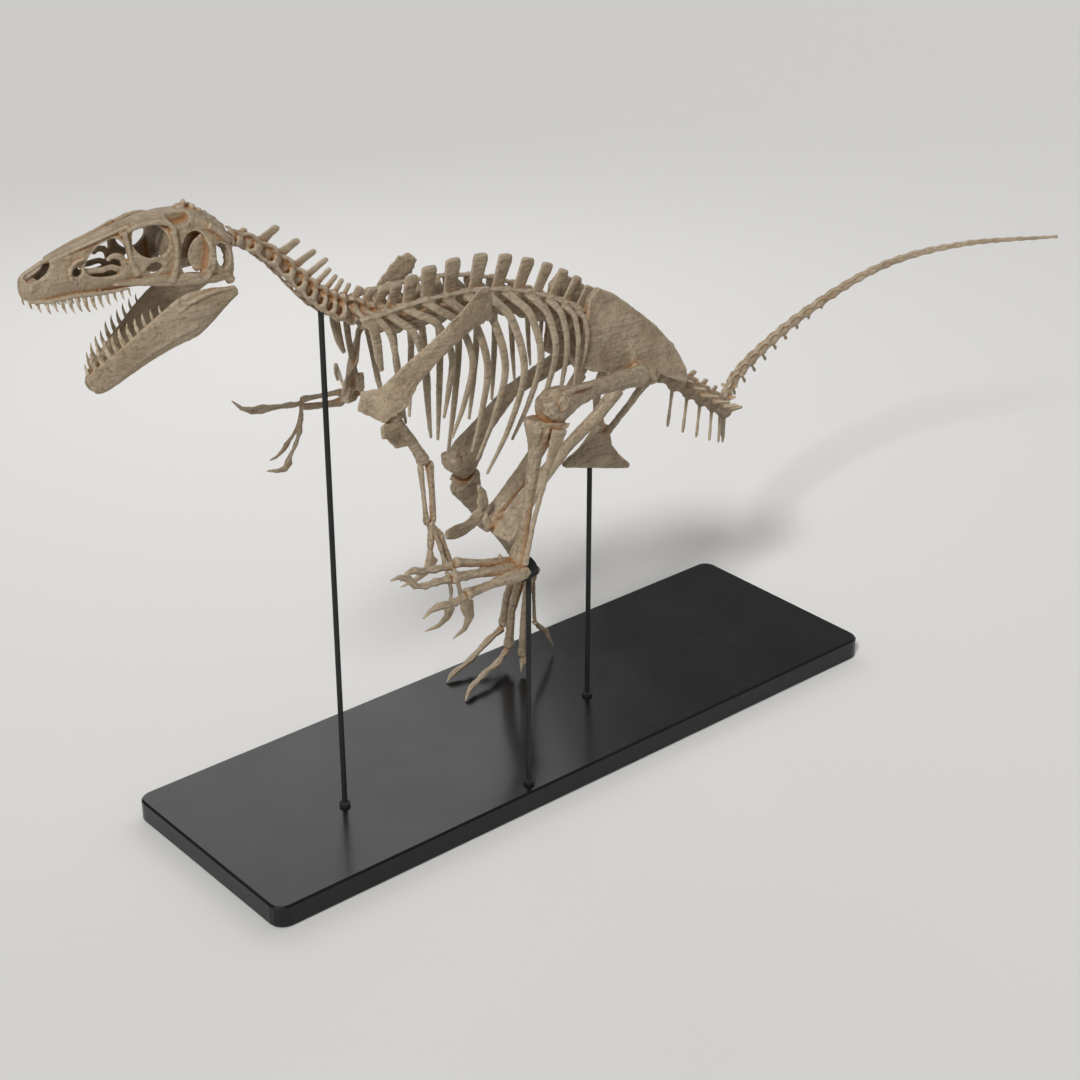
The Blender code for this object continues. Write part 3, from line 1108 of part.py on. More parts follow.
def main():
    base = build_base()
    skull = build_skull()
    jaw = build_jaw(skull)
    neck_front, neck_rear = build_neck()
    seat(neck_front, [skull, jaw])
    seat(neck_rear, [neck_front])
    back_front, back_rear = build_back()
    seat(back_front, [neck_rear])
    seat(back_rear, [back_front])
    sacrum = build_sacrum()
    seat(sacrum, [back_rear])
    tail = build_tail()
    for before, after in zip([sacrum] + tail, tail):
        seat(after, [before])
    bones = [skull, jaw, neck_front, neck_rear, back_front, back_rear, sacrum] + tail
    ribs = {}
    for side, hand in (("left", LEFT), ("right", RIGHT)):
        ribs[side] = build_ribs("ribs_" + side, hand)
        seat(ribs[side], [neck_rear, sacrum])
        bones.append(ribs[side])

    ilia = {}
    for side, hand in (("left", LEFT), ("right", RIGHT)):
        ilia[side] = build_ilium("ilium_" + side, hand, [sacrum, back_rear, tail[0], ribs[side]])
        bones.append(ilia[side])
    pelvis = [ilia["left"], ilia["right"]]
    pubis = build_pubis(pelvis + [sacrum])
    ischium = build_ischium(pelvis + [sacrum, pubis])
    belly = build_belly_bone([pubis])
    bones += [pubis, ischium, belly]

    scapulae = {}
    for side, hand, blade, socket in (("left", LEFT, LEFT_BLADE, LEFT_SOCKET),
                                      ("right", RIGHT, RIGHT_BLADE, RIGHT_SOCKET)):
        scapulae[side] = build_scapula("scapula_" + side, hand, blade, socket, [ribs[side], neck_rear])
        bones.append(scapulae[side])
    bones.append(build_wishbone([scapulae["left"], scapulae["right"]]))
    bones += build_arm("left", LEFT, LEFT_SHOULDER, LEFT_ELBOW, LEFT_WRIST, LEFT_DIGITS,
                       [scapulae["left"], ribs["left"]])
    bones += build_arm("right", RIGHT, RIGHT_SHOULDER, RIGHT_ELBOW, RIGHT_WRIST, RIGHT_DIGITS,
                       [scapulae["right"], ribs["right"]])

    hips = pelvis + [ischium, pubis]
    left_femur = build_femur("femur_left", LEFT, LEFT_KNEE, LEFT_THIGH, hips + [ribs["left"]])
    right_femur = build_femur("femur_right", RIGHT, RIGHT_KNEE, RIGHT_THIGH, hips + [ribs["right"]])
    left_shin = build_shin("left", LEFT, LEFT_SHIN_TOP, LEFT_ANKLE, 1.0, left_femur, [])
    right_shin = build_shin("right", RIGHT, RIGHT_SHIN_TOP, RIGHT_ANKLE, 0.78, right_femur, [pubis])
    left_foot = build_metatarsus("left", LEFT, Vector(LEFT_ANKLE) + Vector((-0.004, 0, -0.024)),
                                 LEFT_FOOT_BONES, list(left_shin))
    right_foot = build_metatarsus("right", RIGHT, Vector(RIGHT_ANKLE) + Vector((-0.004, 0, -0.016)),
                                  RIGHT_FOOT_BONES, list(right_shin))
    left_toes = build_toes("left", LEFT_TOES, left_foot)
    right_toes = build_toes("right", RIGHT_TOES, right_foot)
    for item in [right_foot] + right_toes:
        trim_below(item, BASE_HEIGHT + GAP)
    bones += [left_femur, right_femur, *left_shin, *right_shin, left_foot, right_foot]
    bones += left_toes + right_toes

    rods = [build_rod("stand_rod_front", ROD_FRONT_SPOT, 2.128, [neck_rear, neck_front]),
            build_rod("stand_rod_leg", ROD_LEG_SPOT, ROD_LEG_TOP, [left_foot, *left_shin], LEG_CUP),
            build_rod("stand_rod_rear", ROD_REAR_SPOT, 1.160, [ischium])]

    paint(bones, "bone", BONE_COLOUR, 0.65, 0.0)
    paint(rods, "black", BLACK_MATT, 0.5, 0.0)
    paint([base], "gloss", BLACK_GLOSS, 0.25, 0.0)
    bpy.data.collections.remove(WORKBENCH)


clear_scene()
SKELETON = make_collection("mounted_dinosaur_skeleton")
WORKBENCH = make_collection("pieces")
CUTTERS = make_collection("cutters")
main()
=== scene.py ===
import json
import math

import bmesh
import bpy
import numpy as np
from mathutils import Matrix, Vector

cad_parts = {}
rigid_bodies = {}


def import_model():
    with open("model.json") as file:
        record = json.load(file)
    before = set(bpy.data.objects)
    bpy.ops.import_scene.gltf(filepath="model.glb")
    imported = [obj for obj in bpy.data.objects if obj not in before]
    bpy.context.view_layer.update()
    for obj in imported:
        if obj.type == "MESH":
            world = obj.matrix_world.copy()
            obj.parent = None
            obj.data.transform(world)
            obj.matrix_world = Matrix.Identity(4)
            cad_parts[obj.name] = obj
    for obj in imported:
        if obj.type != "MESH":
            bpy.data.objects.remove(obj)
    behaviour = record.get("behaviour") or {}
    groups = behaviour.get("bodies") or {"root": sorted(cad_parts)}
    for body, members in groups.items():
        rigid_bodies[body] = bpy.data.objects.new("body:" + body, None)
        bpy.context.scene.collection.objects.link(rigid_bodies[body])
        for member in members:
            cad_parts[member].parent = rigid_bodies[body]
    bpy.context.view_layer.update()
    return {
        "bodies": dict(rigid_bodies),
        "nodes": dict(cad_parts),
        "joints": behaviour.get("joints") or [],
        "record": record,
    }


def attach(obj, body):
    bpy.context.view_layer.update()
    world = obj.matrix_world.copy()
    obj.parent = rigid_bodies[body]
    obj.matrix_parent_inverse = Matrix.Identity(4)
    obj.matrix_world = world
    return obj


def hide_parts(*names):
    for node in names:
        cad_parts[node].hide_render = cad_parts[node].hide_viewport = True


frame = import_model()
print("frame loaded:", len(frame["nodes"]), "nodes")


# Small tools

def deselectAll():
    bpy.ops.object.select_all(action="DESELECT")


def pick(item):
    deselectAll()
    item.select_set(True)
    bpy.context.view_layer.objects.active = item


def applyAll(item):
    pick(item)
    for modifier in list(item.modifiers):
        bpy.ops.object.modifier_apply(modifier=modifier.name)


def copyNode(node):
    # a merged copy of a CAD node's mesh, to sculpt
    item = bpy.data.objects.new(node + "Copy", frame["nodes"][node].data.copy())
    bpy.context.scene.collection.objects.link(item)
    item.data.materials.clear()
    pick(item)
    bpy.ops.object.mode_set(mode="EDIT")
    bpy.ops.mesh.select_all(action="SELECT")
    bpy.ops.mesh.remove_doubles(threshold=0.00002)
    bpy.ops.object.mode_set(mode="OBJECT")
    return item


def joined(name, parts):
    deselectAll()
    for part in parts:
        part.select_set(True)
    bpy.context.view_layer.objects.active = parts[0]
    if len(parts) > 1:
        bpy.ops.object.join()
    whole = bpy.context.view_layer.objects.active
    whole.name = name
    whole.data.name = name
    return whole


def soften(item, voxel, rounds, swell=0.0, relief=0.0):
    # one skin over all the parts, rounded off, with a slow swelling like real bone
    remesh = item.modifiers.new("oneSkin", "REMESH")
    remesh.mode = "VOXEL"
    remesh.voxel_size = voxel
    remesh.adaptivity = 0
    smooth = item.modifiers.new("rounded", "SMOOTH")
    smooth.factor = 0.6
    smooth.iterations = rounds
    if swell:
        grow = item.modifiers.new("swell", "DISPLACE")
        grow.strength = swell
        grow.mid_level = 0
    if relief:
        lumps = bpy.data.textures.get("boneLumps") or bpy.data.textures.new("boneLumps", "CLOUDS")
        lumps.noise_scale = 0.022
        lumps.noise_depth = 2
        rough = item.modifiers.new("relief", "DISPLACE")
        rough.texture = lumps
        rough.texture_coords = "LOCAL"
        rough.strength = relief
        rough.mid_level = 0.5
    applyAll(item)
    return item


def slimShaft(item, share):
    # a bone's shaft drawn in towards its middle line, the two ends left as they are
    points = np.array([vertex.co[:] for vertex in item.data.vertices])
    axis = np.linalg.svd(points - points.mean(axis=0), full_matrices=False)[2][0]
    along = points @ axis
    along = (along - along.min()) / (along.max() - along.min())
    slices = 24
    slot = np.minimum((along * slices).astype(int), slices - 1)
    means = np.array([points[slot == number].mean(axis=0) for number in range(slices)])
    stops = (np.arange(slices) + 0.5) / slices
    middle = np.stack([np.interp(along, stops, column) for column in means.T], axis=1)
    outwards = points - middle
    outwards -= (outwards @ axis)[:, None] * axis
    ease = np.clip(np.minimum(along, 1 - along) / 0.28, 0.0, 1.0)
    points -= outwards * (share * ease * ease * (3 - 2 * ease))[:, None]
    item.data.vertices.foreach_set("co", points.ravel())
    item.data.update()


def sectionFrames(keys, up):
    # where each cross-section of a limb stands: side and depth scaled to its width and depth
    centres = [Vector(key[:3]) for key in keys]
    frames = []
    for index, key in enumerate(keys):
        ahead = centres[min(index + 1, len(keys) - 1)] - centres[max(index - 1, 0)]
        ahead.normalize()
        side = ahead.cross(Vector(up)).normalized()
        top = side.cross(ahead).normalized()
        turn = Matrix((side * key[3], top * key[4], ahead * -1)).transposed().to_4x4()
        frames.append(Matrix.Translation(centres[index]) @ turn)
    return frames


def growLimb(keys, up=(0, 0, 1), sides=8):
    # a disc, extruded from section to section; a key is x, y, z, width, depth
    frames = sectionFrames(keys, up)
    deselectAll()
    bpy.ops.mesh.primitive_circle_add(vertices=sides, radius=0.5, fill_type="NGON")
    limb = bpy.context.object
    limb.data.transform(frames[0])
    bpy.ops.object.mode_set(mode="EDIT")
    bpy.ops.mesh.select_all(action="SELECT")
    for before, after in zip(frames, frames[1:]):
        bpy.ops.mesh.extrude_region_move()
        shape = bmesh.from_edit_mesh(limb.data)
        ring = [vertex for vertex in shape.verts if vertex.select]
        bmesh.ops.transform(shape, matrix=after @ before.inverted(), verts=ring)
        bmesh.update_edit_mesh(limb.data)
    bpy.ops.mesh.select_all(action="SELECT")
    bpy.ops.mesh.normals_make_consistent(inside=False)
    bpy.ops.object.mode_set(mode="OBJECT")
    return limb


def finishPiece(item, node, material, angle=60):
    pick(item)
    item.data.materials.clear()
    item.data.materials.append(material)
    bpy.ops.object.shade_smooth_by_angle(angle=math.radians(angle))
    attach(item, "root")
    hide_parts(node)
    return item


# Materials

class Signal:
    # a node's output; an expression on it adds the Math nodes
    def __init__(self, tree, socket):
        self.tree = tree
        self.socket = socket

    def node(self, kind, settings, inputs, output=0):
        made = self.tree.nodes.new(kind)
        for name, value in settings.items():
            if name == "stops":
                ramp = made.color_ramp
                while len(ramp.elements) < len(value):
                    ramp.elements.new(0.5)
                for element, (place, colour) in zip(ramp.elements, value):
                    element.position = place
                    element.color = (*colour, 1.0)
            else:
                setattr(made, name, value)
        for name, value in inputs.items():
            if isinstance(value, Signal):
                self.tree.links.new(value.socket, made.inputs[name])
            else:
                made.inputs[name].default_value = value
        return Signal(self.tree, made.outputs[output])

    def maths(self, operation, first, second=0.0, clamp=False):
        return self.node("ShaderNodeMath", {"operation": operation, "use_clamp": clamp}, {0: first, 1: second})

    def __add__(self, other):
        return self.maths("ADD", self, other)

    def __radd__(self, other):
        return self.maths("ADD", other, self)

    def __sub__(self, other):
        return self.maths("SUBTRACT", self, other)

    def __rsub__(self, other):
        return self.maths("SUBTRACT", other, self)

    def __mul__(self, other):
        return self.maths("MULTIPLY", self, other)

    def __rmul__(self, other):
        return self.maths("MULTIPLY", other, self)

    def ramp(self, low, high):
        # 0 below low, 1 above high
        return self.node("ShaderNodeMapRange", {"clamp": True}, {"Value": self, "From Min": low, "From Max": high})

    def noise(self, scale, detail=4.0, roughness=0.6, distortion=0.0):
        return self.node("ShaderNodeTexNoise", {}, {"Vector": self, "Scale": scale, "Detail": detail,
                                                    "Roughness": roughness, "Distortion": distortion})

    def stretched(self, turn, stretch):
        return self.node("ShaderNodeMapping", {}, {"Vector": self, "Rotation": turn, "Scale": stretch})


def mixColours(share, first, second, mode="MIX"):
    return share.node("ShaderNodeMix", {"data_type": "RGBA", "blend_type": mode},
                      {0: share, 6: first, 7: second}, output=2)


def newMaterial(name):
    material = bpy.data.materials.new(name)
    material.use_nodes = True
    tree = material.node_tree
    shader = tree.nodes["Principled BSDF"]
    place = tree.nodes.new("ShaderNodeTexCoord")
    return material, tree, shader, Signal(tree, place.outputs["Object"])


boneLook = {
    "edge": (0.60, 0.50, 0.37, 1.0),
    "pale": (0.50, 0.405, 0.285, 1.0),
    "middle": (0.335, 0.252, 0.162, 1.0),
    "dark": (0.130, 0.090, 0.054, 1.0),
    # orange-brown for real stains and for painted shade in crevices
    "stain": (0.450, 0.178, 0.036, 1.0),
    # near-black for pits and for painted shade in concave hollows
    "deep": (0.035, 0.020, 0.010, 1.0),
    "roughness": (0.48, 0.74),
}


def boneMaterial(name, turn=(0.0, 0.0, 0.0), stainAndShadeAmount=1.0, fibres=1.0, tone=0.0):
    # turn points the fibres' long axis (their own X) along the bone; the stain amount scales real stains and painted
    # crevice shade together
    material, tree, shader, place = newMaterial(name)
    clouds = place.noise(5.5, 5.0, 0.62)
    blotches = place.noise(23.0, 6.0, 0.68, 0.6)
    grit = place.noise(240.0, 3.0, 0.6)
    pits = place.noise(90.0, 4.0, 0.72)
    fibre = place.stretched(turn, (7.0, 95.0, 95.0)).noise(1.0, 5.0, 0.62, 0.25)
    geometry = Signal(tree, tree.nodes.new("ShaderNodeNewGeometry").outputs["Pointiness"])
    edge = geometry.ramp(0.506, 0.545)
    # concave spots, darkened below as painted shade
    hollowShade = 1.0 - geometry.ramp(0.455, 0.497)
    # ambient occlusion near other bone, used below as painted shade in crevices and between bones
    occlusionShade = place.node("ShaderNodeAmbientOcclusion", {"samples": 4}, {"Distance": 0.030}, output=1)
    creviceShade = 1.0 - occlusionShade.ramp(0.38, 0.94)

    colour = mixColours((clouds + tone).ramp(0.36, 0.66), boneLook["middle"], boneLook["pale"])
    colour = mixColours(blotches.ramp(0.52, 0.74) * 0.75, colour, boneLook["dark"])
    colour = mixColours(fibre.ramp(0.48, 0.66) * (0.62 * fibres), colour, boneLook["dark"])
    # stain mask: the blotches and cloud tone are real stains, the occlusion and concave terms are painted shade
    stain = (blotches * 0.42 + creviceShade * 0.78 + hollowShade * 0.35 + clouds * 0.34).ramp(0.50, 0.94)
    colour = mixColours(stain * (0.90 * stainAndShadeAmount), colour, boneLook["stain"])
    colour = mixColours(pits.ramp(0.58, 0.74) * 0.34, colour, boneLook["deep"])
    # concave hollows darkened towards near-black: painted shade
    colour = mixColours(hollowShade * 0.40, colour, boneLook["deep"])
    colour = mixColours(edge * 0.60, colour, boneLook["edge"])
    colour = mixColours(grit.ramp(0.40, 0.62) * 0.30, colour, boneLook["middle"])
    tree.links.new(colour.socket, shader.inputs["Base Color"])

    low, high = boneLook["roughness"]
    roughness = blotches.ramp(0.35, 0.65) * (high - low) + low
    tree.links.new(roughness.socket, shader.inputs["Roughness"])
    height = grit * 0.20 - pits.ramp(0.54, 0.74) * 0.40 + fibre * (1.10 * fibres) + blotches * 1.1
    bump = place.node("ShaderNodeBump", {}, {"Strength": 1.0, "Distance": 0.0060, "Height": height})
    tree.links.new(bump.socket, shader.inputs["Normal"])
    shader.inputs["Specular IOR Level"].default_value = 0.38
    return material


def toothMaterial():
    material, tree, shader, place = newMaterial("fossilTooth")
    clouds = place.noise(60.0, 4.0)
    streak = place.stretched((0, 0, 0), (260.0, 260.0, 30.0)).noise(1.0, 3.0)
    colour = mixColours(clouds.ramp(0.38, 0.62), (0.34, 0.25, 0.15, 1.0), (0.62, 0.53, 0.38, 1.0))
    colour = mixColours(streak.ramp(0.50, 0.70) * 0.6, colour, (0.12, 0.07, 0.035, 1.0))
    tree.links.new(colour.socket, shader.inputs["Base Color"])
    bump = place.node("ShaderNodeBump", {}, {"Strength": 0.4, "Distance": 0.001, "Height": streak})
    tree.links.new(bump.socket, shader.inputs["Normal"])
    shader.inputs["Roughness"].default_value = 0.32
    return material


def blackMaterial(name, colour, roughness, coat):
    material, tree, shader, place = newMaterial(name)
    haze = place.noise(3.0, 5.0, 0.6)
    dust = place.noise(320.0, 2.0, 0.5)
    paint = mixColours(haze.ramp(0.35, 0.70), colour, tuple(2.2 * value for value in colour[:3]) + (1.0,))
    tree.links.new(paint.socket, shader.inputs["Base Color"])
    tree.links.new((haze.ramp(0.30, 0.70) * 0.10 + dust * 0.06 + roughness).socket, shader.inputs["Roughness"])
    bump = place.node("ShaderNodeBump", {}, {"Strength": 0.10, "Distance": 0.0006, "Height": dust})
    tree.links.new(bump.socket, shader.inputs["Normal"])
    shader.inputs["Specular IOR Level"].default_value = 0.30
    shader.inputs["Coat Weight"].default_value = coat
    shader.inputs["Coat Roughness"].default_value = 0.10
    return material


toothFinish = toothMaterial()
baseFinish = blackMaterial("satinBlackLacquer", (0.003, 0.003, 0.0035, 1.0), 0.16, 0.10)
rodFinish = blackMaterial("mattBlackPaint", (0.010, 0.010, 0.010, 1.0), 0.48, 0.0)
print("materials made")


# Lines through the bones

def curveRows(keys, count):
    # rows evenly spaced along a smooth curve through the keys
    rows = np.array(keys, dtype=float)
    padded = np.vstack([2 * rows[0] - rows[1], rows, 2 * rows[-1] - rows[-2]])
    line = []
    for index in range(len(rows) - 1):
        before, start, end, after = padded[index:index + 4]
        for step in range(16):
            t = step / 16
            line.append(0.5 * (2 * start + (end - before) * t
                               + (2 * before - 5 * start + 4 * end - after) * t * t
                               + (3 * start - before - 3 * end + after) * t ** 3))
    line.append(rows[-1])
    line = np.array(line)
    steps = np.linalg.norm(np.diff(line[:, :3], axis=0), axis=1)
    along = np.concatenate([[0.0], np.cumsum(steps)])
    wanted = np.linspace(0.0, along[-1], count)
    return np.stack([np.interp(wanted, along, column) for column in line.T], axis=1)


def roundOutline(points, count=36):
    # a smooth closed outline through a few points
    looped = list(points[-2:]) + list(points) + list(points[:3])
    rows = curveRows([(x, 0.0, z) for x, z in looped], 900)
    first = int(np.argmin(np.linalg.norm(rows - np.array([points[0][0], 0, points[0][1]]), axis=1)[:450]))
    last = int(np.argmin(np.linalg.norm(rows - np.array([points[0][0], 0, points[0][1]]), axis=1)[450:])) + 450
    picks = np.linspace(first, last, count, endpoint=False).astype(int)
    return [(float(rows[pick][0]), float(rows[pick][2])) for pick in picks]


def vertebraFrames(path, lengths):
    # one upright frame at the middle of each vertebra, with its length
    rows = curveRows(path, 600)
    cuts = np.concatenate([[0.0], np.cumsum(lengths)])
    cuts = np.round(cuts / cuts[-1] * (len(rows) - 1)).astype(int)
    frames = []
    for first, last in zip(cuts, cuts[1:]):
        start = Vector(rows[first])
        end = Vector(rows[last])
        ahead = (end - start).normalized()
        side = Vector((0, 0, 1)).cross(ahead).normalized()
        frames.append(((start + end) / 2, ahead, side, ahead.cross(side).normalized(), (end - start).length))
    return frames


def placed(model, centre, ahead, side, up, scale):
    # a copy of a model with its own mesh, set on a frame
    item = model.copy()
    item.data = model.data.copy()
    bpy.context.scene.collection.objects.link(item)
    turn = Matrix((ahead * scale[0], side * scale[1], up * scale[2])).transposed().to_4x4()
    item.data.transform(Matrix.Translation(centre) @ turn)
    return item


def growBoth(keys, up=(0, 0, 1), sides=8):
    # the same limb on the left and on the right of the model's own middle plane
    return [growLimb([(x, hand * y, z, width, depth) for x, y, z, width, depth in keys], up, sides)
            for hand in (-1, 1)]


# Backbone: models of one vertebra of each region, in lengths along and radii across

middleY = -0.083
backbone = {
    "neckPath": [(-1.300, 2.432), (-1.235, 2.398), (-1.160, 2.340), (-1.090, 2.268), (-1.020, 2.190),
                 (-0.945, 2.125), (-0.868, 2.078)],
    "neckLengths": [0.066, 0.092, 0.080, 0.068, 0.058, 0.052, 0.047, 0.044, 0.042],
    "neckSpines": [0.026, 0.086, 0.094, 0.104, 0.110, 0.084, 0.074, 0.068, 0.062],
    "backPath": [(-0.868, 2.078), (-0.790, 2.030), (-0.700, 1.992), (-0.590, 1.970), (-0.470, 1.968),
                 (-0.350, 1.966), (-0.240, 1.950), (-0.140, 1.925), (-0.040, 1.890), (0.060, 1.845),
                 (0.150, 1.795)],
    "backLengths": [0.052, 0.058, 0.068, 0.078, 0.088, 0.104, 0.110, 0.106, 0.104, 0.098, 0.086, 0.078, 0.072],
    "backSpines": [0.062, 0.072, 0.086, 0.104, 0.126, 0.144, 0.150, 0.152, 0.148, 0.142, 0.138, 0.132, 0.126],
    "hipPath": [(0.150, 1.795), (0.290, 1.705), (0.430, 1.612), (0.560, 1.520), (0.660, 1.445)],
    "tailPath": [(0.660, -0.083, 1.445), (0.780, -0.082, 1.360), (0.920, -0.070, 1.262), (1.080, -0.020, 1.160),
                 (1.220, 0.095, 1.070), (1.340, 0.225, 1.022), (1.580, 0.360, 1.075), (2.057, 0.450, 1.191),
                 (2.540, 0.405, 1.335), (2.957, 0.270, 1.391), (3.470, 0.090, 1.367)],
    "tailCounts": [5, 5, 6, 6, 7, 8],
    "voxel": 0.0037,
}


def inMiddle(points):
    return [(x, middleY, z) for x, z in points]


def makeDrum():
    # a spool: swollen rims, a pinched waist
    rings = ((-0.50, 1.86), (-0.47, 2.08), (-0.40, 2.04), (-0.24, 1.60), (0.0, 1.46), (0.24, 1.60),
             (0.40, 2.04), (0.47, 2.08), (0.50, 1.86))
    return growLimb([(x, 0, 0, size, size) for x, size in rings], (0, 0, 1), 14)


def makeNeckModel():
    parts = [growLimb([(-0.30, 0, 0.5, 1.5, 1.2), (-0.10, 0, 1.15, 1.2, 0.9), (0.22, 0, 1.2, 1.1, 0.8),
                       (0.40, 0, 0.8, 0.9, 0.6)], (0, 0, 1), 8)]
    parts += growBoth([(-0.05, 0.55, 0.95, 0.7, 0.55), (-0.40, 0.95, 1.25, 0.5, 0.42), (-0.66, 1.10, 1.55, 0.55, 0.34)])
    parts += growBoth([(0.10, 0.50, 1.15, 0.7, 0.5), (0.42, 0.90, 1.55, 0.5, 0.42), (0.64, 1.02, 1.62, 0.55, 0.40)])
    parts += growBoth([(-0.10, 0.55, 0.75, 0.6, 0.5), (-0.14, 1.20, 0.45, 0.5, 0.40), (-0.20, 1.62, -0.35, 0.45, 0.40)],
                      (1, 0, 0))
    parts += growBoth([(-0.36, 0.60, -0.55, 0.5, 0.5), (-0.34, 1.20, -0.85, 0.45, 0.45), (-0.20, 1.62, -0.35, 0.4, 0.4)],
                      (1, 0, 0))
    return joined("neckVertebraModel", parts)


def makeTrunkModel():
    parts = [growLimb([(-0.36, 0, 0.6, 1.5, 1.0), (-0.20, 0, 1.15, 1.3, 0.8), (0.20, 0, 1.20, 1.3, 0.8),
                       (0.38, 0, 0.7, 1.2, 0.8)], (0, 0, 1), 8)]
    parts += growBoth([(-0.15, 0.30, 1.25, 0.5, 0.45), (-0.42, 0.50, 1.45, 0.45, 0.35), (-0.60, 0.52, 1.55, 0.5, 0.3)])
    parts += growBoth([(0.15, 0.25, 1.45, 0.5, 0.45), (0.42, 0.40, 1.72, 0.42, 0.32), (0.58, 0.42, 1.72, 0.45, 0.28)])
    return joined("trunkVertebraModel", parts)


def makePaddle():
    # a spine seen from the side: narrow foot, broad rounded top, 1 tall and 1 long
    keys = [(0.00, 0, -0.12, 1.10, 1.00), (0.0, 0, 0.06, 0.94, 0.80), (0.0, 0, 0.25, 0.88, 0.66),
            (0.01, 0, 0.50, 0.92, 0.68), (0.03, 0, 0.74, 1.00, 0.84), (0.05, 0, 0.88, 1.04, 1.0),
            (0.06, 0, 0.955, 0.94, 0.98), (0.06, 0, 0.988, 0.74, 0.76), (0.06, 0, 1.0, 0.50, 0.40)]
    return growLimb([(x, y, z, long, thick) for x, y, z, long, thick in keys], (0, 1, 0), 12)


def makeFin():
    # a neck spine: broad foot, narrower blunt top, 1 tall
    keys = [(-0.05, 0, -0.15, 1.70, 1.10), (0.0, 0, 0.05, 1.45, 0.85), (0.03, 0, 0.30, 1.12, 0.66),
            (0.03, 0, 0.60, 0.92, 0.66), (0.04, 0, 0.85, 0.86, 0.90), (0.05, 0, 0.96, 0.70, 0.84),
            (0.05, 0, 1.0, 0.36, 0.40)]
    return growLimb([(x, y, z, long, thick) for x, y, z, long, thick in keys], (0, 1, 0), 12)


drumModel = makeDrum()
finModel = makeFin()
neckModel = makeNeckModel()
trunkModel = makeTrunkModel()
paddleModel = makePaddle()


def spineOn(frame, radius, height, long, thick, lean, model):
    # a paddle on a vertebra's back, leaning towards the tail
    centre, ahead, side, up, length = frame
    lift = (up + ahead * lean).normalized()
    return placed(model, centre + up * radius * 0.95, ahead, side, lift, (long, thick, height + radius * 0.15))


def chevronOn(frame, radius, drop, thick):
    centre, ahead, side, up, length = frame
    root = centre - up * radius * 0.4 + ahead * length * 0.42
    tip = centre - up * (radius + drop) + ahead * (length * 0.5 + drop * 0.55)
    return growLimb([(*root, thick * 1.5, thick * 1.8), (*root.lerp(tip, 0.5), thick, thick * 1.3),
                     (*root.lerp(tip, 0.85), thick * 0.9, thick * 2.0), (*tip, thick * 0.6, thick * 1.3)], ahead, 6)


def wingsOn(frame, reach, rise, long, thick):
    # the side wings of a hip or tail vertebra, tapering outwards
    centre, ahead, side, up, length = frame
    wings = []
    for hand in (-1, 1):
        root = centre + side * hand * reach * 0.18
        tip = centre + side * hand * reach + up * rise
        wings.append(growLimb([(*root, long * 1.2, thick * 2.6), (*root.lerp(tip, 0.45), long * 0.8, thick * 1.5),
                               (*root.lerp(tip, 0.85), long * 0.8, thick), (*tip, long * 0.6, thick * 0.7)], up, 6))
    return wings


def buildNeck():
    plan = backbone
    frames = vertebraFrames(inMiddle(plan["neckPath"]), plan["neckLengths"])
    last = len(frames) - 1
    groups = {"neck_front": [], "neck_rear": []}
    for index, frame in enumerate(frames):
        group = groups["neck_front" if index < len(frames) // 2 else "neck_rear"]
        centre, ahead, side, up, length = frame
        radius = 0.020 + 0.012 * index / last
        group.append(placed(drumModel, centre, ahead, side, up, (length * 1.06, radius, radius)))
        group.append(placed(neckModel, centre, ahead, side, up, (length * 0.95, radius * 1.06, radius * 1.02)))
        height = plan["neckSpines"][index]
        group.append(spineOn(frame, radius, height, length * 0.36 + 0.006, 0.014, 0.50 - 0.05 * index, finModel))
        if 0 < index < 8:
            reach = 0.115 if index < 6 else 0.085
            for hand in (-1, 1):
                root = centre + side * hand * radius * 1.55 - up * radius * 0.45 - ahead * length * 0.16
                bend = root + ahead * reach * 0.30 - up * radius * 0.40
                tip = root + ahead * reach * 1.35 - up * radius * 0.55
                group.append(growLimb([(*root, 0.014, 0.014), (*bend, 0.009, 0.010), (*bend.lerp(tip, 0.5), 0.0065, 0.007),
                                       (*tip, 0.003, 0.003)], up, 6))
    return groups


def buildTrunk():
    plan = backbone
    frames = vertebraFrames(inMiddle(plan["backPath"]), plan["backLengths"])
    groups = {"back_front": [], "back_rear": []}
    for index, frame in enumerate(frames):
        group = groups["back_front" if index < 6 else "back_rear"]
        centre, ahead, side, up, length = frame
        radius = 0.035 + 0.006 * index / (len(frames) - 1)
        group.append(placed(drumModel, centre, ahead, side, up, (length * 1.05, radius, radius)))
        group.append(placed(trunkModel, centre, ahead, side, up, (length * 0.95, radius, radius)))
        group.append(spineOn(frame, radius, plan["backSpines"][index], length * 0.62 + 0.004, 0.022, 0.10, paddleModel))
        rootX, rootZ = ribs["roots"][index]
        for hand in (-1, 1):
            start = centre + up * 0.024 + side * hand * 0.012
            end = Vector((rootX, middleY - hand * 0.0895, rootZ))
            if (end - centre).dot(side) * hand < 0:
                end.y = middleY + hand * 0.0895
            group.append(growLimb([(*start, length * 0.66, 0.040), (*start.lerp(end, 0.35), length * 0.62, 0.024),
                                   (*start.lerp(end, 0.75), length * 0.50, 0.014), (*end, length * 0.60, 0.012)], up, 8))
    return groups


def buildHips():
    plan = backbone
    frames = vertebraFrames(inMiddle(plan["hipPath"]), [1.0] * 5)
    parts = []
    for index, frame in enumerate(frames):
        centre, ahead, side, up, length = frame
        share = index / 4
        radius = 0.044 - 0.004 * share
        parts.append(placed(drumModel, centre, ahead, side, up, (length * 1.05, radius, radius)))
        parts.append(placed(trunkModel, centre, ahead, side, up, (length * 0.95, radius, radius)))
        parts.append(spineOn(frame, radius, 0.110 - 0.025 * share, length * 0.86, 0.020, 0.10, paddleModel))
        parts += wingsOn(frame, 0.097 - 0.016 * share, 0.033, 0.055, 0.012)
    return {"sacrum": parts}


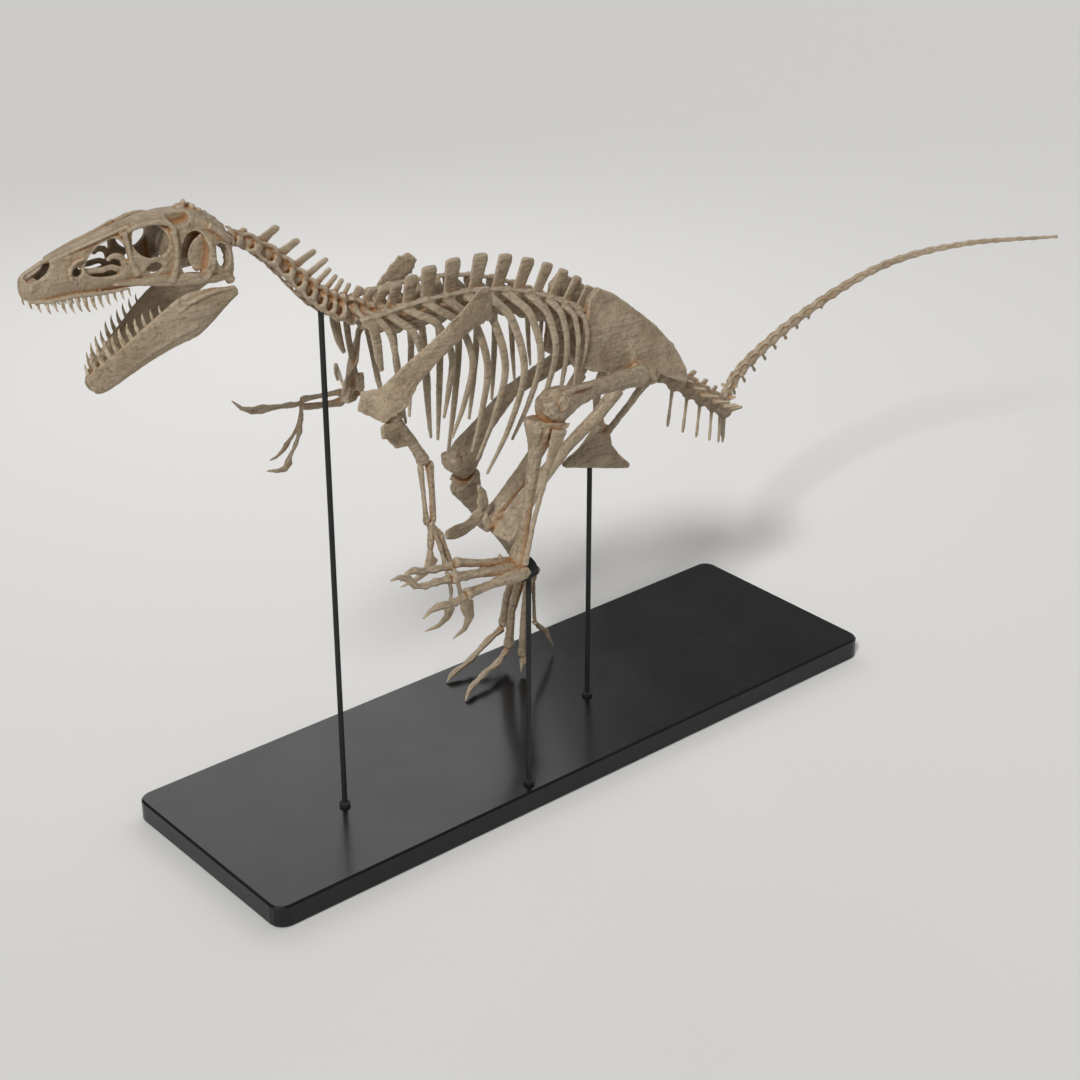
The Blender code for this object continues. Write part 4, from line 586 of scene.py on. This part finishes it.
def buildTail():
    plan = backbone
    total = sum(plan["tailCounts"])
    frames = vertebraFrames(plan["tailPath"], np.linspace(1.0, 0.62, total))
    groups = {}
    index = 0
    for segment, count in enumerate(plan["tailCounts"]):
        parts = []
        for frame in frames[index:index + count]:
            centre, ahead, side, up, length = frame
            share = index / (total - 1)
            radius = 0.038 + (0.0065 - 0.038) * share ** 0.72
            parts.append(placed(drumModel, centre, ahead, side, up, (length * 1.04, radius, radius)))
            parts.append(placed(trunkModel, centre, ahead, side, up, (length * 0.9, radius * 0.82, radius * 0.86)))
            spine = 0.052 * (1 - share / 0.46)
            wing = 0.125 * (1 - share / 0.40)
            chevron = 0.135 * (1 - share / 0.55)
            if spine > 0.010:
                parts.append(spineOn(frame, radius, spine, 0.038 - 0.018 * share, 0.012, 0.55, finModel))
            if wing > 0.012:
                parts += wingsOn(frame, wing, radius * 0.6, 0.026 - 0.008 * share, 0.010)
            if chevron > 0.010:
                parts.append(chevronOn(frame, radius, chevron, 0.010))
            if share > 0.30:
                for hand in (-1, 1):
                    root = centre + up * radius * 0.5 + side * hand * radius * 0.4
                    tip = centre + up * radius * 1.25 + side * hand * radius * 0.7 - ahead * (0.020 + 0.012 * share)
                    parts.append(growLimb([(*root, radius * 0.8, radius * 0.8), (*tip, 0.004, 0.004)], up, 5))
            index += 1
        groups["tail_%d" % (segment + 1)] = parts
    return groups


# Ribs: root (x, z), sweep, reach, tip (x, distance from the middle, z), width

ribs = {
    "roots": [(-0.843, 2.070), (-0.797, 2.069), (-0.748, 2.072), (-0.676, 2.077), (-0.589, 2.078),
              (-0.498, 2.073), (-0.405, 2.065), (-0.322, 2.055), (-0.226, 2.033), (-0.120, 2.000),
              (-0.020, 1.955), (0.055, 1.916), (0.119, 1.879)],
    "sweeps": [0.028, 0.052, 0.112, 0.146, 0.146, 0.118, 0.104, 0.110, 0.098, 0.072, 0.040, 0.034, 0.028],
    "reaches": [0.122, 0.142, 0.162, 0.174, 0.182, 0.188, 0.192, 0.192, 0.187, 0.177, 0.162, 0.147, 0.132],
    "tips": [(-0.790, 0.112, 1.867), (-0.701, 0.122, 1.646), (-0.592, 0.122, 1.560), (-0.535, 0.127, 1.624),
             (-0.500, 0.127, 1.536), (-0.409, 0.127, 1.454), (-0.378, 0.117, 1.410), (-0.332, 0.117, 1.339),
             (-0.219, 0.127, 1.448), (-0.107, 0.127, 1.497), (0.007, 0.127, 1.547), (0.086, 0.127, 1.586),
             (0.121, 0.122, 1.629)],
    "widths": [0.042, 0.026, 0.028, 0.030, 0.030, 0.032, 0.034, 0.034, 0.032, 0.030, 0.026, 0.022, 0.018],
    "ledge": 0.104,
    "voxel": 0.0035,
}


def growRib(order, hand):
    rootX, rootZ = ribs["roots"][order]
    tipX, tipReach, tipZ = ribs["tips"][order]
    reach = ribs["reaches"][order]
    width = ribs["widths"][order]
    sweep = ribs["sweeps"][order]
    ledge = ribs["ledge"]
    drop = rootZ - tipZ
    marks = [(rootX - 0.006, ledge - 0.002, rootZ - 0.004, width * 1.15, 0.020),
             (rootX + sweep * 0.22, ledge + (reach - ledge) * 0.42, rootZ - drop * 0.055 - 0.006, width * 1.05, 0.020),
             (rootX + sweep * 0.66, ledge + (reach - ledge) * 0.80, rootZ - drop * 0.17, width * 0.98, 0.017),
             (rootX + sweep, reach, rootZ - drop * 0.44, width * 0.95, 0.015),
             (rootX + sweep + (tipX - rootX - sweep) * 0.40, reach + (tipReach - reach) * 0.40,
              rootZ - drop * 0.74, width * 0.80, 0.013),
             (tipX, tipReach, tipZ, width * 0.40, 0.008)]
    rows = curveRows([(x, middleY + hand * y, z, deep, across) for x, y, z, across, deep in marks], 34)
    return growLimb([tuple(row) for row in rows], (1, 0, 0), 12)


def buildRibs():
    groups = {}
    for node, hand in (("ribs_left", -1), ("ribs_right", 1)):
        roots = np.array(ribs["roots"])
        stops = [roots[0] * 1.5 - roots[1] * 0.5, *((roots[:-1] + roots[1:]) / 2), roots[-1] * 1.5 - roots[-2] * 0.5]
        path = [(x, middleY + hand * ribs["ledge"], z, 0.025, 0.014) for x, z in stops]
        parts = [growLimb([tuple(row) for row in curveRows(path, 60)], (0, 0, 1), 8)]
        for order, (x, z) in enumerate(ribs["roots"]):
            parts.append(growRib(order, hand))
            # a lump where the rib's head meets the ledge, and a low ridge up to it
            parts.append(growLimb([(x - 0.016, middleY + hand * 0.104, z + 0.001, 0.024, 0.012),
                                   (x, middleY + hand * 0.106, z + 0.003, 0.028, 0.018),
                                   (x + 0.016, middleY + hand * 0.104, z + 0.001, 0.024, 0.012)], (0, 0, 1), 8))
        groups[node] = parts
    return groups


boneAlongBody = boneMaterial("fossilBoneAlongBody", (0.0, 0.0, 0.0), 1.0, 0.7)
boneUpright = boneMaterial("fossilBoneUpright", (0.0, math.radians(90), 0.0), 1.0, 1.0)

for groups, voxel, finish in ((buildNeck(), backbone["voxel"], boneAlongBody),
                              (buildTrunk(), backbone["voxel"], boneUpright),
                              (buildHips(), backbone["voxel"], boneUpright),
                              (buildTail(), 0.0030, boneAlongBody),
                              (buildRibs(), ribs["voxel"], boneUpright)):
    for node, parts in groups.items():
        piece = joined(node.replace("_", "") + "Bone", parts)
        soften(piece, voxel, 4, 0.0011, 0.0018)
        finishPiece(piece, node, finish)
for model in (drumModel, neckModel, trunkModel, paddleModel, finModel):
    bpy.data.objects.remove(model, do_unlink=True)
print("backbone and ribs built")


# Skull and jaw

head = {
    # from snout to back of head: x, half width, roof, lower edge
    "stations": [(-2.050, 0.016, 2.458, 2.405), (-2.043, 0.027, 2.470, 2.394), (-2.030, 0.034, 2.478, 2.386),
                 (-1.985, 0.043, 2.496, 2.378), (-1.900, 0.050, 2.521, 2.376), (-1.800, 0.056, 2.540, 2.364),
                 (-1.700, 0.066, 2.564, 2.360), (-1.620, 0.080, 2.575, 2.352), (-1.550, 0.092, 2.577, 2.334),
                 (-1.480, 0.101, 2.570, 2.322), (-1.420, 0.104, 2.556, 2.312), (-1.370, 0.100, 2.525, 2.304),
                 (-1.345, 0.094, 2.500, 2.306)],
    "wall": 0.013,
    "voxel": 0.0032,
    "naris": [(-2.044, 2.470), (-2.033, 2.452), (-2.008, 2.452), (-1.978, 2.466), (-1.955, 2.486),
              (-1.952, 2.520), (-2.000, 2.535), (-2.040, 2.510)],
    "narisThrough": [(-2.038, 2.456), (-2.024, 2.468), (-1.995, 2.481), (-1.962, 2.492), (-1.955, 2.486),
                     (-1.976, 2.466), (-2.006, 2.452), (-2.030, 2.448)],
    "snoutHole": [(-1.895, 2.455), (-1.878, 2.471), (-1.861, 2.456), (-1.878, 2.439)],
    "snoutWindow": [(-1.852, 2.462), (-1.814, 2.507), (-1.745, 2.532), (-1.712, 2.512), (-1.708, 2.452),
                    (-1.745, 2.420), (-1.825, 2.430)],
    "eyeWindow": [(-1.684, 2.500), (-1.668, 2.548), (-1.620, 2.560), (-1.576, 2.532), (-1.566, 2.486),
                  (-1.600, 2.453), (-1.652, 2.460)],
    "eyeSlot": [(-1.658, 2.432), (-1.628, 2.444), (-1.598, 2.420), (-1.628, 2.400)],
    "templeWindow": [(-1.532, 2.470), (-1.492, 2.510), (-1.450, 2.498), (-1.436, 2.440), (-1.452, 2.382),
                     (-1.500, 2.358), (-1.534, 2.398)],
    "backWindow": [(-1.414, 2.436), (-1.398, 2.456), (-1.372, 2.446), (-1.362, 2.412), (-1.368, 2.380),
                   (-1.388, 2.370), (-1.408, 2.394)],
    "roofWindow": [(-1.548, 2.60), (-1.548, 2.548), (-1.512, 2.532), (-1.476, 2.548), (-1.480, 2.60)],
    # ridges and bars on each side: (x, distance from the middle, z, across, tall)
    "ridges": {
        "crescent": [(-1.852, 0.053, 2.497, 0.007, 0.008), (-1.884, 0.052, 2.489, 0.010, 0.012),
                     (-1.904, 0.051, 2.466, 0.011, 0.013), (-1.902, 0.050, 2.440, 0.010, 0.012),
                     (-1.884, 0.050, 2.423, 0.007, 0.008)],
        "innerStrut": [(-1.856, 0.038, 2.452, 0.014, 0.018), (-1.800, 0.040, 2.442, 0.012, 0.020),
                       (-1.756, 0.043, 2.444, 0.012, 0.020), (-1.722, 0.052, 2.424, 0.014, 0.022)],
        "innerKnob": [(-1.772, 0.043, 2.470, 0.010, 0.014), (-1.748, 0.047, 2.480, 0.016, 0.020),
                      (-1.722, 0.051, 2.466, 0.016, 0.022), (-1.718, 0.055, 2.424, 0.014, 0.020)],
        "tearBar": [(-1.712, 0.060, 2.550, 0.014, 0.020), (-1.702, 0.062, 2.500, 0.014, 0.014),
                    (-1.698, 0.064, 2.450, 0.014, 0.016), (-1.682, 0.068, 2.408, 0.014, 0.024)],
        "brow": [(-1.720, 0.046, 2.540, 0.012, 0.012), (-1.668, 0.053, 2.556, 0.018, 0.016),
                 (-1.610, 0.063, 2.562, 0.018, 0.016), (-1.560, 0.075, 2.550, 0.018, 0.018),
                 (-1.548, 0.086, 2.520, 0.016, 0.018)],
        "cheekKnob": [(-1.668, 0.070, 2.420, 0.010, 0.014), (-1.640, 0.073, 2.444, 0.014, 0.018),
                      (-1.612, 0.078, 2.446, 0.014, 0.016), (-1.588, 0.084, 2.428, 0.012, 0.018)],
        "backBar": [(-1.556, 0.088, 2.528, 0.018, 0.020), (-1.550, 0.092, 2.470, 0.016, 0.018),
                    (-1.558, 0.092, 2.412, 0.016, 0.020), (-1.576, 0.088, 2.366, 0.014, 0.024)],
        "cheekEdge": [(-1.760, 0.056, 2.390, 0.006, 0.008), (-1.700, 0.062, 2.386, 0.010, 0.020),
                      (-1.620, 0.074, 2.376, 0.014, 0.036), (-1.550, 0.085, 2.368, 0.015, 0.042),
                      (-1.470, 0.093, 2.354, 0.015, 0.038), (-1.410, 0.095, 2.342, 0.014, 0.026),
                      (-1.380, 0.094, 2.338, 0.008, 0.012)],
        "gum": [(-2.036, 0.022, 2.392, 0.012, 0.014), (-1.985, 0.039, 2.384, 0.011, 0.013),
                (-1.900, 0.046, 2.383, 0.011, 0.014), (-1.800, 0.051, 2.372, 0.011, 0.014),
                (-1.715, 0.060, 2.370, 0.009, 0.010)],
        "noseRidge": [(-1.955, 0.020, 2.500, 0.008, 0.008), (-1.860, 0.030, 2.524, 0.012, 0.010),
                      (-1.760, 0.036, 2.545, 0.012, 0.010), (-1.690, 0.046, 2.562, 0.012, 0.010)],
        "quadrate": [(-1.402, 0.090, 2.368, 0.020, 0.034), (-1.378, 0.088, 2.346, 0.022, 0.030),
                     (-1.356, 0.085, 2.322, 0.038, 0.032)],
        "cheekRim": [(-1.436, 0.100, 2.470, 0.010, 0.016), (-1.425, 0.103, 2.430, 0.012, 0.016),
                     (-1.430, 0.102, 2.385, 0.012, 0.018), (-1.455, 0.098, 2.354, 0.012, 0.020)],
        "nape": [(-1.425, 0.084, 2.520, 0.020, 0.024), (-1.385, 0.092, 2.486, 0.018, 0.020),
                 (-1.350, 0.088, 2.452, 0.014, 0.026)],
        "earWing": [(-1.390, 0.018, 2.470, 0.030, 0.044), (-1.352, 0.055, 2.462, 0.022, 0.030),
                    (-1.340, 0.088, 2.440, 0.012, 0.030)],
    },
    "plate": [(-1.440, 0.074, 2.486, 0.008, 0.030), (-1.462, 0.074, 2.452, 0.009, 0.066),
              (-1.470, 0.074, 2.416, 0.009, 0.064), (-1.462, 0.078, 2.380, 0.009, 0.040)],
    "lumps": [(-1.462, 0.000, 2.580, 0.018, 0.016, 0.030), (-1.478, 0.010, 2.572, 0.030, 0.020, 0.018),
              (-1.438, 0.014, 2.566, 0.022, 0.018, 0.022), (-1.420, 0.024, 2.552, 0.020, 0.022, 0.022),
              (-1.400, 0.018, 2.540, 0.024, 0.022, 0.018), (-1.384, 0.034, 2.524, 0.022, 0.024, 0.018),
              (-1.366, 0.020, 2.510, 0.022, 0.024, 0.020), (-1.352, 0.040, 2.494, 0.018, 0.020, 0.016),
              (-1.332, 0.000, 2.448, 0.050, 0.046, 0.044), (-1.352, 0.022, 2.470, 0.016, 0.016, 0.020)],
    "upperTeeth": {"first": -2.036, "last": -1.712, "lengths": [0.028, 0.036, 0.040, 0.038, 0.046, 0.050, 0.050,
                                                                0.054, 0.050, 0.044, 0.040, 0.034, 0.030, 0.024]},
    # one side of the jaw, from the joint to the chin: x, distance from the middle, z, across, tall
    "jaw": [(-1.340, 0.083, 2.284, 0.030, 0.034), (-1.380, 0.086, 2.276, 0.034, 0.060),
            (-1.440, 0.087, 2.262, 0.030, 0.112), (-1.515, 0.084, 2.238, 0.028, 0.152),
            (-1.600, 0.074, 2.203, 0.030, 0.128), (-1.685, 0.058, 2.158, 0.032, 0.104),
            (-1.765, 0.038, 2.110, 0.034, 0.092), (-1.825, 0.018, 2.072, 0.032, 0.084),
            (-1.850, 0.006, 2.056, 0.026, 0.058)],
    "jawRidges": [[(-1.352, 0.092, 2.296, 0.012, 0.012), (-1.420, 0.100, 2.304, 0.013, 0.014),
                   (-1.500, 0.098, 2.292, 0.012, 0.014), (-1.570, 0.088, 2.258, 0.009, 0.010)],
                  [(-1.500, 0.098, 2.206, 0.008, 0.020), (-1.590, 0.088, 2.180, 0.010, 0.022),
                   (-1.680, 0.072, 2.140, 0.009, 0.020), (-1.760, 0.053, 2.096, 0.008, 0.016)],
                  [(-1.580, 0.080, 2.258, 0.010, 0.012), (-1.660, 0.066, 2.214, 0.014, 0.014),
                   (-1.740, 0.048, 2.168, 0.014, 0.014), (-1.800, 0.032, 2.128, 0.013, 0.013),
                   (-1.838, 0.016, 2.094, 0.011, 0.011)]],
    "lowerTeeth": [0.034, 0.050, 0.056, 0.056, 0.050, 0.056, 0.052, 0.046, 0.042, 0.034, 0.026],
}


def growStations(stations, swell=0.0, sides=32):
    # boxy rings, narrower at the top, grown from station to station
    frames = []
    for x, half, roof, floor in stations:
        across = Vector((0, 2 * (half + swell), 0))
        tall = Vector((0, 0, roof - floor + 2 * swell))
        turn = Matrix((across, tall, Vector((1, 0, 0)))).transposed().to_4x4()
        frames.append(Matrix.Translation((x, middleY, (roof + floor) / 2)) @ turn)
    deselectAll()
    bpy.ops.mesh.primitive_circle_add(vertices=sides, radius=0.5, fill_type="NGON")
    shell = bpy.context.object
    for vertex in shell.data.vertices:
        angle = math.atan2(vertex.co.y, vertex.co.x)
        across = math.copysign(abs(math.cos(angle)) ** 0.62, math.cos(angle))
        rise = math.copysign(abs(math.sin(angle)) ** 0.72, math.sin(angle))
        vertex.co = (0.5 * across * (1.0 - 0.26 * max(rise, 0.0)), 0.5 * rise, 0)
    shell.data.transform(frames[0])
    bpy.ops.object.mode_set(mode="EDIT")
    bpy.ops.mesh.select_all(action="SELECT")
    for before, after in zip(frames, frames[1:]):
        bpy.ops.mesh.extrude_region_move()
        shape = bmesh.from_edit_mesh(shell.data)
        ring = [vertex for vertex in shape.verts if vertex.select]
        bmesh.ops.transform(shape, matrix=after @ before.inverted(), verts=ring)
        bmesh.update_edit_mesh(shell.data)
    bpy.ops.mesh.select_all(action="SELECT")
    bpy.ops.mesh.normals_make_consistent(inside=False)
    bpy.ops.object.mode_set(mode="OBJECT")
    return shell


def windowPlug(outline, near, far):
    # a plug with the window's outline, from one distance along y to another
    ring = roundOutline(outline)
    deselectAll()
    bpy.ops.mesh.primitive_circle_add(vertices=len(ring), radius=1, fill_type="NGON")
    plug = bpy.context.object
    for vertex, (x, z) in zip(plug.data.vertices, ring):
        vertex.co = (x, near, z)
    bpy.ops.object.mode_set(mode="EDIT")
    bpy.ops.mesh.select_all(action="SELECT")
    bpy.ops.mesh.extrude_region_move(TRANSFORM_OT_translate={"value": (0, far - near, 0)})
    bpy.ops.mesh.select_all(action="SELECT")
    bpy.ops.mesh.normals_make_consistent(inside=False)
    bpy.ops.object.mode_set(mode="OBJECT")
    return plug


def carve(item, tools):
    for tool in tools:
        opening = item.modifiers.new("opening", "BOOLEAN")
        opening.operation = "DIFFERENCE"
        opening.solver = "EXACT"
        opening.object = tool
    applyAll(item)
    for tool in tools:
        bpy.data.objects.remove(tool, do_unlink=True)


def stationAt(x):
    rows = np.array(head["stations"])
    return tuple(float(np.interp(x, rows[:, 0], rows[:, column])) for column in range(4))


def sidePair(keys, up=(0, 0, 1), sides=8, rings=12):
    rows = curveRows(keys, rings)
    return [growLimb([(x, middleY + hand * y, z, across, tall) for x, y, z, across, tall in rows], up, sides)
            for hand in (-1, 1)]


def makeToothModel():
    # root upwards, tip swept back along +x, one unit long
    keys = [(0, 0, 0.22, 0.27, 0.38), (0, 0, 0, 0.28, 0.40), (0.03, 0, -0.25, 0.25, 0.36),
            (0.10, 0, -0.52, 0.20, 0.28), (0.22, 0, -0.78, 0.12, 0.18), (0.33, 0, -0.93, 0.06, 0.09),
            (0.40, 0, -1.0, 0.02, 0.03)]
    return growLimb(keys, (1, 0, 0), 8)


toothModel = makeToothModel()


def buildSkull():
    plan = head
    shell = growStations(plan["stations"])
    wall = plan["wall"]
    tools = [growStations([stationAt(x) for x in (-2.000, -1.95, -1.90, -1.84, -1.78, -1.72, -1.66, -1.60, -1.565)],
                          -wall)]
    back = [(x, stationAt(x)[1] - wall * 1.2, 2.430, 2.20) for x in (-1.60, -1.55, -1.50, -1.45, -1.40, -1.345)]
    tools.append(growStations(back + [(-1.30, 0.070, 2.430, 2.20)]))
    for name in ("narisThrough", "snoutHole", "snoutWindow", "eyeWindow", "eyeSlot", "backWindow"):
        tools.append(windowPlug(plan[name], middleY - 0.2, middleY + 0.2))
    for hand in (-1, 1):
        tools.append(windowPlug(plan["naris"], middleY + hand * 0.007, middleY + hand * 0.2))
        tools.append(windowPlug(plan["templeWindow"], middleY + hand * 0.045, middleY + hand * 0.2))
        tools.append(windowPlug(plan["roofWindow"], middleY + hand * 0.030, middleY + hand * 0.074))
    carve(shell, tools)
    parts = [shell]
    for keys in plan["ridges"].values():
        parts += sidePair(keys)
    parts += sidePair(plan["plate"], (1, 0, 0))
    for x, reach, z, long, across, tall in plan["lumps"]:
        for hand in (-1, 1):
            spot = (x, middleY + hand * reach, z)
            deselectAll()
            bpy.ops.mesh.primitive_uv_sphere_add(segments=14, ring_count=8, radius=0.5, location=spot,
                                                 scale=(long, across, tall))
            bpy.ops.object.transform_apply(location=True, rotation=True, scale=True)
            parts.append(bpy.context.object)
    return parts


def buildJaw():
    parts = sidePair(head["jaw"], (0, 0, 1), 16, 30)
    for keys in head["jawRidges"]:
        parts += sidePair(keys)
    parts.append(growLimb([(-1.800, middleY - 0.020, 2.084, 0.050, 0.060), (-1.806, middleY, 2.080, 0.056, 0.062),
                           (-1.800, middleY + 0.020, 2.084, 0.050, 0.060)], (0, 0, 1), 12))
    return parts


def toothAt(root, back, up, length):
    side = up.cross(back).normalized()
    return placed(toothModel, root, side.cross(up).normalized(), side, up, (length * 0.86, length * 0.62, length))


def buildTeeth():
    plan = head["upperTeeth"]
    count = len(plan["lengths"])
    upper = []
    for hand in (-1, 1):
        for index, length in enumerate(plan["lengths"]):
            x = plan["first"] + (plan["last"] - plan["first"]) * index / (count - 1)
            half = stationAt(x)[1]
            floor = stationAt(x)[3]
            root = Vector((x, middleY + hand * half * (0.72 if index < 2 else 0.88), floor + 0.004))
            upper.append(toothAt(root, Vector((1, 0, 0)), Vector((0.10, -hand * 0.08, 0.99)), length))
    lower = []
    for hand in (-1, 1):
        rows = curveRows([(x, middleY + hand * y, z, across, tall) for x, y, z, across, tall in head["jaw"]], 60)
        for spot, length in zip(np.linspace(57, 27, len(head["lowerTeeth"])).astype(int), head["lowerTeeth"]):
            ahead = Vector(rows[spot + 1][:3] - rows[spot - 1][:3]).normalized()
            up = (Vector((0, 0, 1)) - ahead * ahead.z).normalized()
            root = Vector(rows[spot][:3]) + up * (rows[spot][4] * 0.5 + 0.001)
            lower.append(toothAt(root, -ahead, -up, length))
    return upper, lower


skullPiece = soften(joined("skullBone", buildSkull()), head["voxel"], 3, 0.0006, 0.0030)
finishPiece(skullPiece, "skull", boneAlongBody)
jawPiece = soften(joined("lowerjawBone", buildJaw()), head["voxel"], 4, 0.0006, 0.0030)
finishPiece(jawPiece, "lower_jaw", boneAlongBody)
upperTeeth, lowerTeeth = buildTeeth()
finishPiece(joined("upperTeeth", upperTeeth), "skull", toothFinish, 80)
finishPiece(joined("lowerTeeth", lowerTeeth), "lower_jaw", toothFinish, 80)
bpy.data.objects.remove(toothModel, do_unlink=True)
print("skull, jaw and teeth built")


# The other bones, sculpted over their CAD solids: voxel, rounds of smoothing, swell, relief, finish

sculptures = {
    "default": {"voxel": 0.0036, "rounds": 8, "swell": 0.0012, "relief": 0.0048},
    "small": {"voxel": 0.0026, "rounds": 5, "swell": 0.0012, "relief": 0.0030},
    "tiny": {"voxel": 0.0022, "rounds": 3, "swell": 0.0012, "relief": 0.0034},
}
# lumps and lips added to a bone before it is sculpted: x, y, z, across, deep
swellings = {
    "femur_left": [[(-0.262, -0.468, 1.696, 0.046, 0.048), (-0.256, -0.472, 1.664, 0.056, 0.060),
                    (-0.234, -0.470, 1.634, 0.044, 0.044)],
                   [(-0.212, -0.462, 1.690, 0.040, 0.046), (-0.198, -0.468, 1.660, 0.050, 0.052),
                    (-0.186, -0.464, 1.636, 0.034, 0.036)],
                   [(-0.180, -0.452, 1.694, 0.018, 0.022), (-0.100, -0.430, 1.690, 0.016, 0.018),
                    (0.000, -0.398, 1.668, 0.010, 0.012)]],
    "femur_right": [[(-0.196, 0.166, 1.236, 0.036, 0.040), (-0.182, 0.162, 1.196, 0.042, 0.050),
                     (-0.168, 0.166, 1.164, 0.026, 0.032)],
                    [(-0.196, 0.226, 1.236, 0.036, 0.040), (-0.182, 0.230, 1.196, 0.042, 0.050),
                     (-0.168, 0.226, 1.164, 0.026, 0.032)]],
    "tibia_left": [[(-0.312, -0.450, 1.622, 0.036, 0.036), (-0.306, -0.456, 1.592, 0.044, 0.050),
                    (-0.304, -0.450, 1.540, 0.026, 0.026)],
                   [(-0.276, -0.462, 1.612, 0.030, 0.030), (-0.272, -0.466, 1.586, 0.036, 0.040),
                    (-0.274, -0.458, 1.540, 0.020, 0.026)],
                   [(-0.258, -0.464, 1.604, 0.016, 0.020), (-0.236, -0.472, 1.588, 0.020, 0.026),
                    (-0.208, -0.474, 1.576, 0.020, 0.024), (-0.180, -0.468, 1.574, 0.016, 0.016),
                    (-0.158, -0.462, 1.582, 0.009, 0.009)]],
    "humerus_left": [[(-0.800, -0.235, 1.704, 0.044, 0.036), (-0.778, -0.236, 1.684, 0.054, 0.056),
                      (-0.750, -0.236, 1.650, 0.042, 0.044), (-0.715, -0.232, 1.603, 0.034, 0.034),
                      (-0.680, -0.228, 1.550, 0.032, 0.032), (-0.655, -0.224, 1.512, 0.040, 0.042)],
                     [(-0.842, -0.252, 1.666, 0.012, 0.052), (-0.806, -0.248, 1.668, 0.026, 0.068),
                      (-0.770, -0.242, 1.660, 0.034, 0.056)]],
    "metatarsus_left": [[(-0.405, -0.462, 1.046, 0.046, 0.052), (-0.440, -0.464, 1.046, 0.046, 0.054),
                         (-0.485, -0.464, 1.052, 0.034, 0.038), (-0.520, -0.464, 1.058, 0.026, 0.028)]],
    "scapula_left": [[(-0.430, -0.296, 2.035, 0.006, 0.010), (-0.560, -0.304, 1.972, 0.008, 0.012),
                      (-0.680, -0.298, 1.900, 0.008, 0.014), (-0.770, -0.280, 1.815, 0.010, 0.016)]],
}
# how far a shaft is drawn in, as a share of its thickness
slimmings = {"tibia_left": 0.27}
smallBones = ("wishbone", "radius", "ulna", "wrist", "belly")
tinyBones = ("finger", "toe")
for node in list(frame["nodes"]):
    done = node.startswith(("stand_", "neck_", "back_", "sacrum", "tail_", "ribs_", "skull", "lower_jaw"))
    if done:
        continue
    size = "small" if node.startswith(smallBones) else "tiny" if node.startswith(tinyBones) else "default"
    plan = sculptures[size]
    parts = [copyNode(node)] + [growLimb(keys, (0, 0, 1), 10) for keys in swellings.get(node, [])]
    piece = joined(node + "Copy", parts)
    soften(piece, plan["voxel"], plan["rounds"], plan["swell"], plan["relief"])
    if node in slimmings:
        slimShaft(piece, slimmings[node])
    piece.name = node.replace("_", "") + "Bone"
    lengthwise = node.startswith(("scapula", "finger", "toe", "ilium", "pubis"))
    finishPiece(piece, node, boneAlongBody if lengthwise else boneUpright)
print("other bones sculpted")

for node, finish in (("stand_base", baseFinish), ("stand_rod_front", rodFinish),
                     ("stand_rod_leg", rodFinish), ("stand_rod_rear", rodFinish)):
    item = frame["nodes"][node]
    item.data.materials.clear()
    item.data.materials.append(finish)


# Studio

studio = {
    "floor": (0.74, 0.73, 0.71, 1.0),
    "cameraPlace": (-4.777, -5.707, 4.593),
    "cameraTurn": (63.5, 0.0, -40.5),
    "lens": 70.0,
    "sun": {"direction": (0.62, 0.36, -0.68), "strength": 2.3, "angle": 10.0},
    "counterSun": {"direction": (-0.75, -0.10, -0.50), "strength": 0.45, "angle": 40.0},
    "softbox": {"place": (2.2, 5.2, 4.7), "size": 4.5, "power": 80.0},
    "aim": (0.0, 0.0, 1.3),
}


def buildStudio():
    deselectAll()
    bpy.ops.mesh.primitive_plane_add(size=600, location=(0, 0, -0.0005))
    floor = bpy.context.object
    floor.name = "studioFloor"
    material, tree, shader, place = newMaterial("paleFloor")
    shader.inputs["Base Color"].default_value = studio["floor"]
    shader.inputs["Roughness"].default_value = 0.75
    floor.data.materials.append(material)
    for name in ("sun", "counterSun"):
        plan = studio[name]
        lamp = bpy.data.lights.new(name, "SUN")
        lamp.energy = plan["strength"]
        lamp.angle = math.radians(plan["angle"])
        holder = bpy.data.objects.new(name, lamp)
        bpy.context.scene.collection.objects.link(holder)
        holder.rotation_euler = Vector(plan["direction"]).to_track_quat("-Z", "Y").to_euler()
    plan = studio["softbox"]
    lamp = bpy.data.lights.new("softbox", "AREA")
    lamp.shape = "DISK"
    lamp.size = plan["size"]
    lamp.energy = plan["power"]
    holder = bpy.data.objects.new("softbox", lamp)
    bpy.context.scene.collection.objects.link(holder)
    holder.location = plan["place"]
    holder.rotation_euler = (Vector(studio["aim"]) - holder.location).to_track_quat("-Z", "Y").to_euler()
    world = bpy.data.worlds.new("softRoom")
    world.use_nodes = True
    world.node_tree.nodes["Background"].inputs["Color"].default_value = (0.80, 0.80, 0.80, 1.0)
    world.node_tree.nodes["Background"].inputs["Strength"].default_value = 0.32
    bpy.context.scene.world = world
    camera = bpy.data.objects.new("photoCamera", bpy.data.cameras.new("photoCamera"))
    bpy.context.scene.collection.objects.link(camera)
    camera.location = studio["cameraPlace"]
    camera.rotation_euler = [math.radians(turn) for turn in studio["cameraTurn"]]
    camera.data.lens = studio["lens"]
    camera.data.clip_end = 200
    bpy.context.scene.camera = camera
    bpy.context.scene.view_settings.view_transform = "Standard"


buildStudio()
print("studio ready")
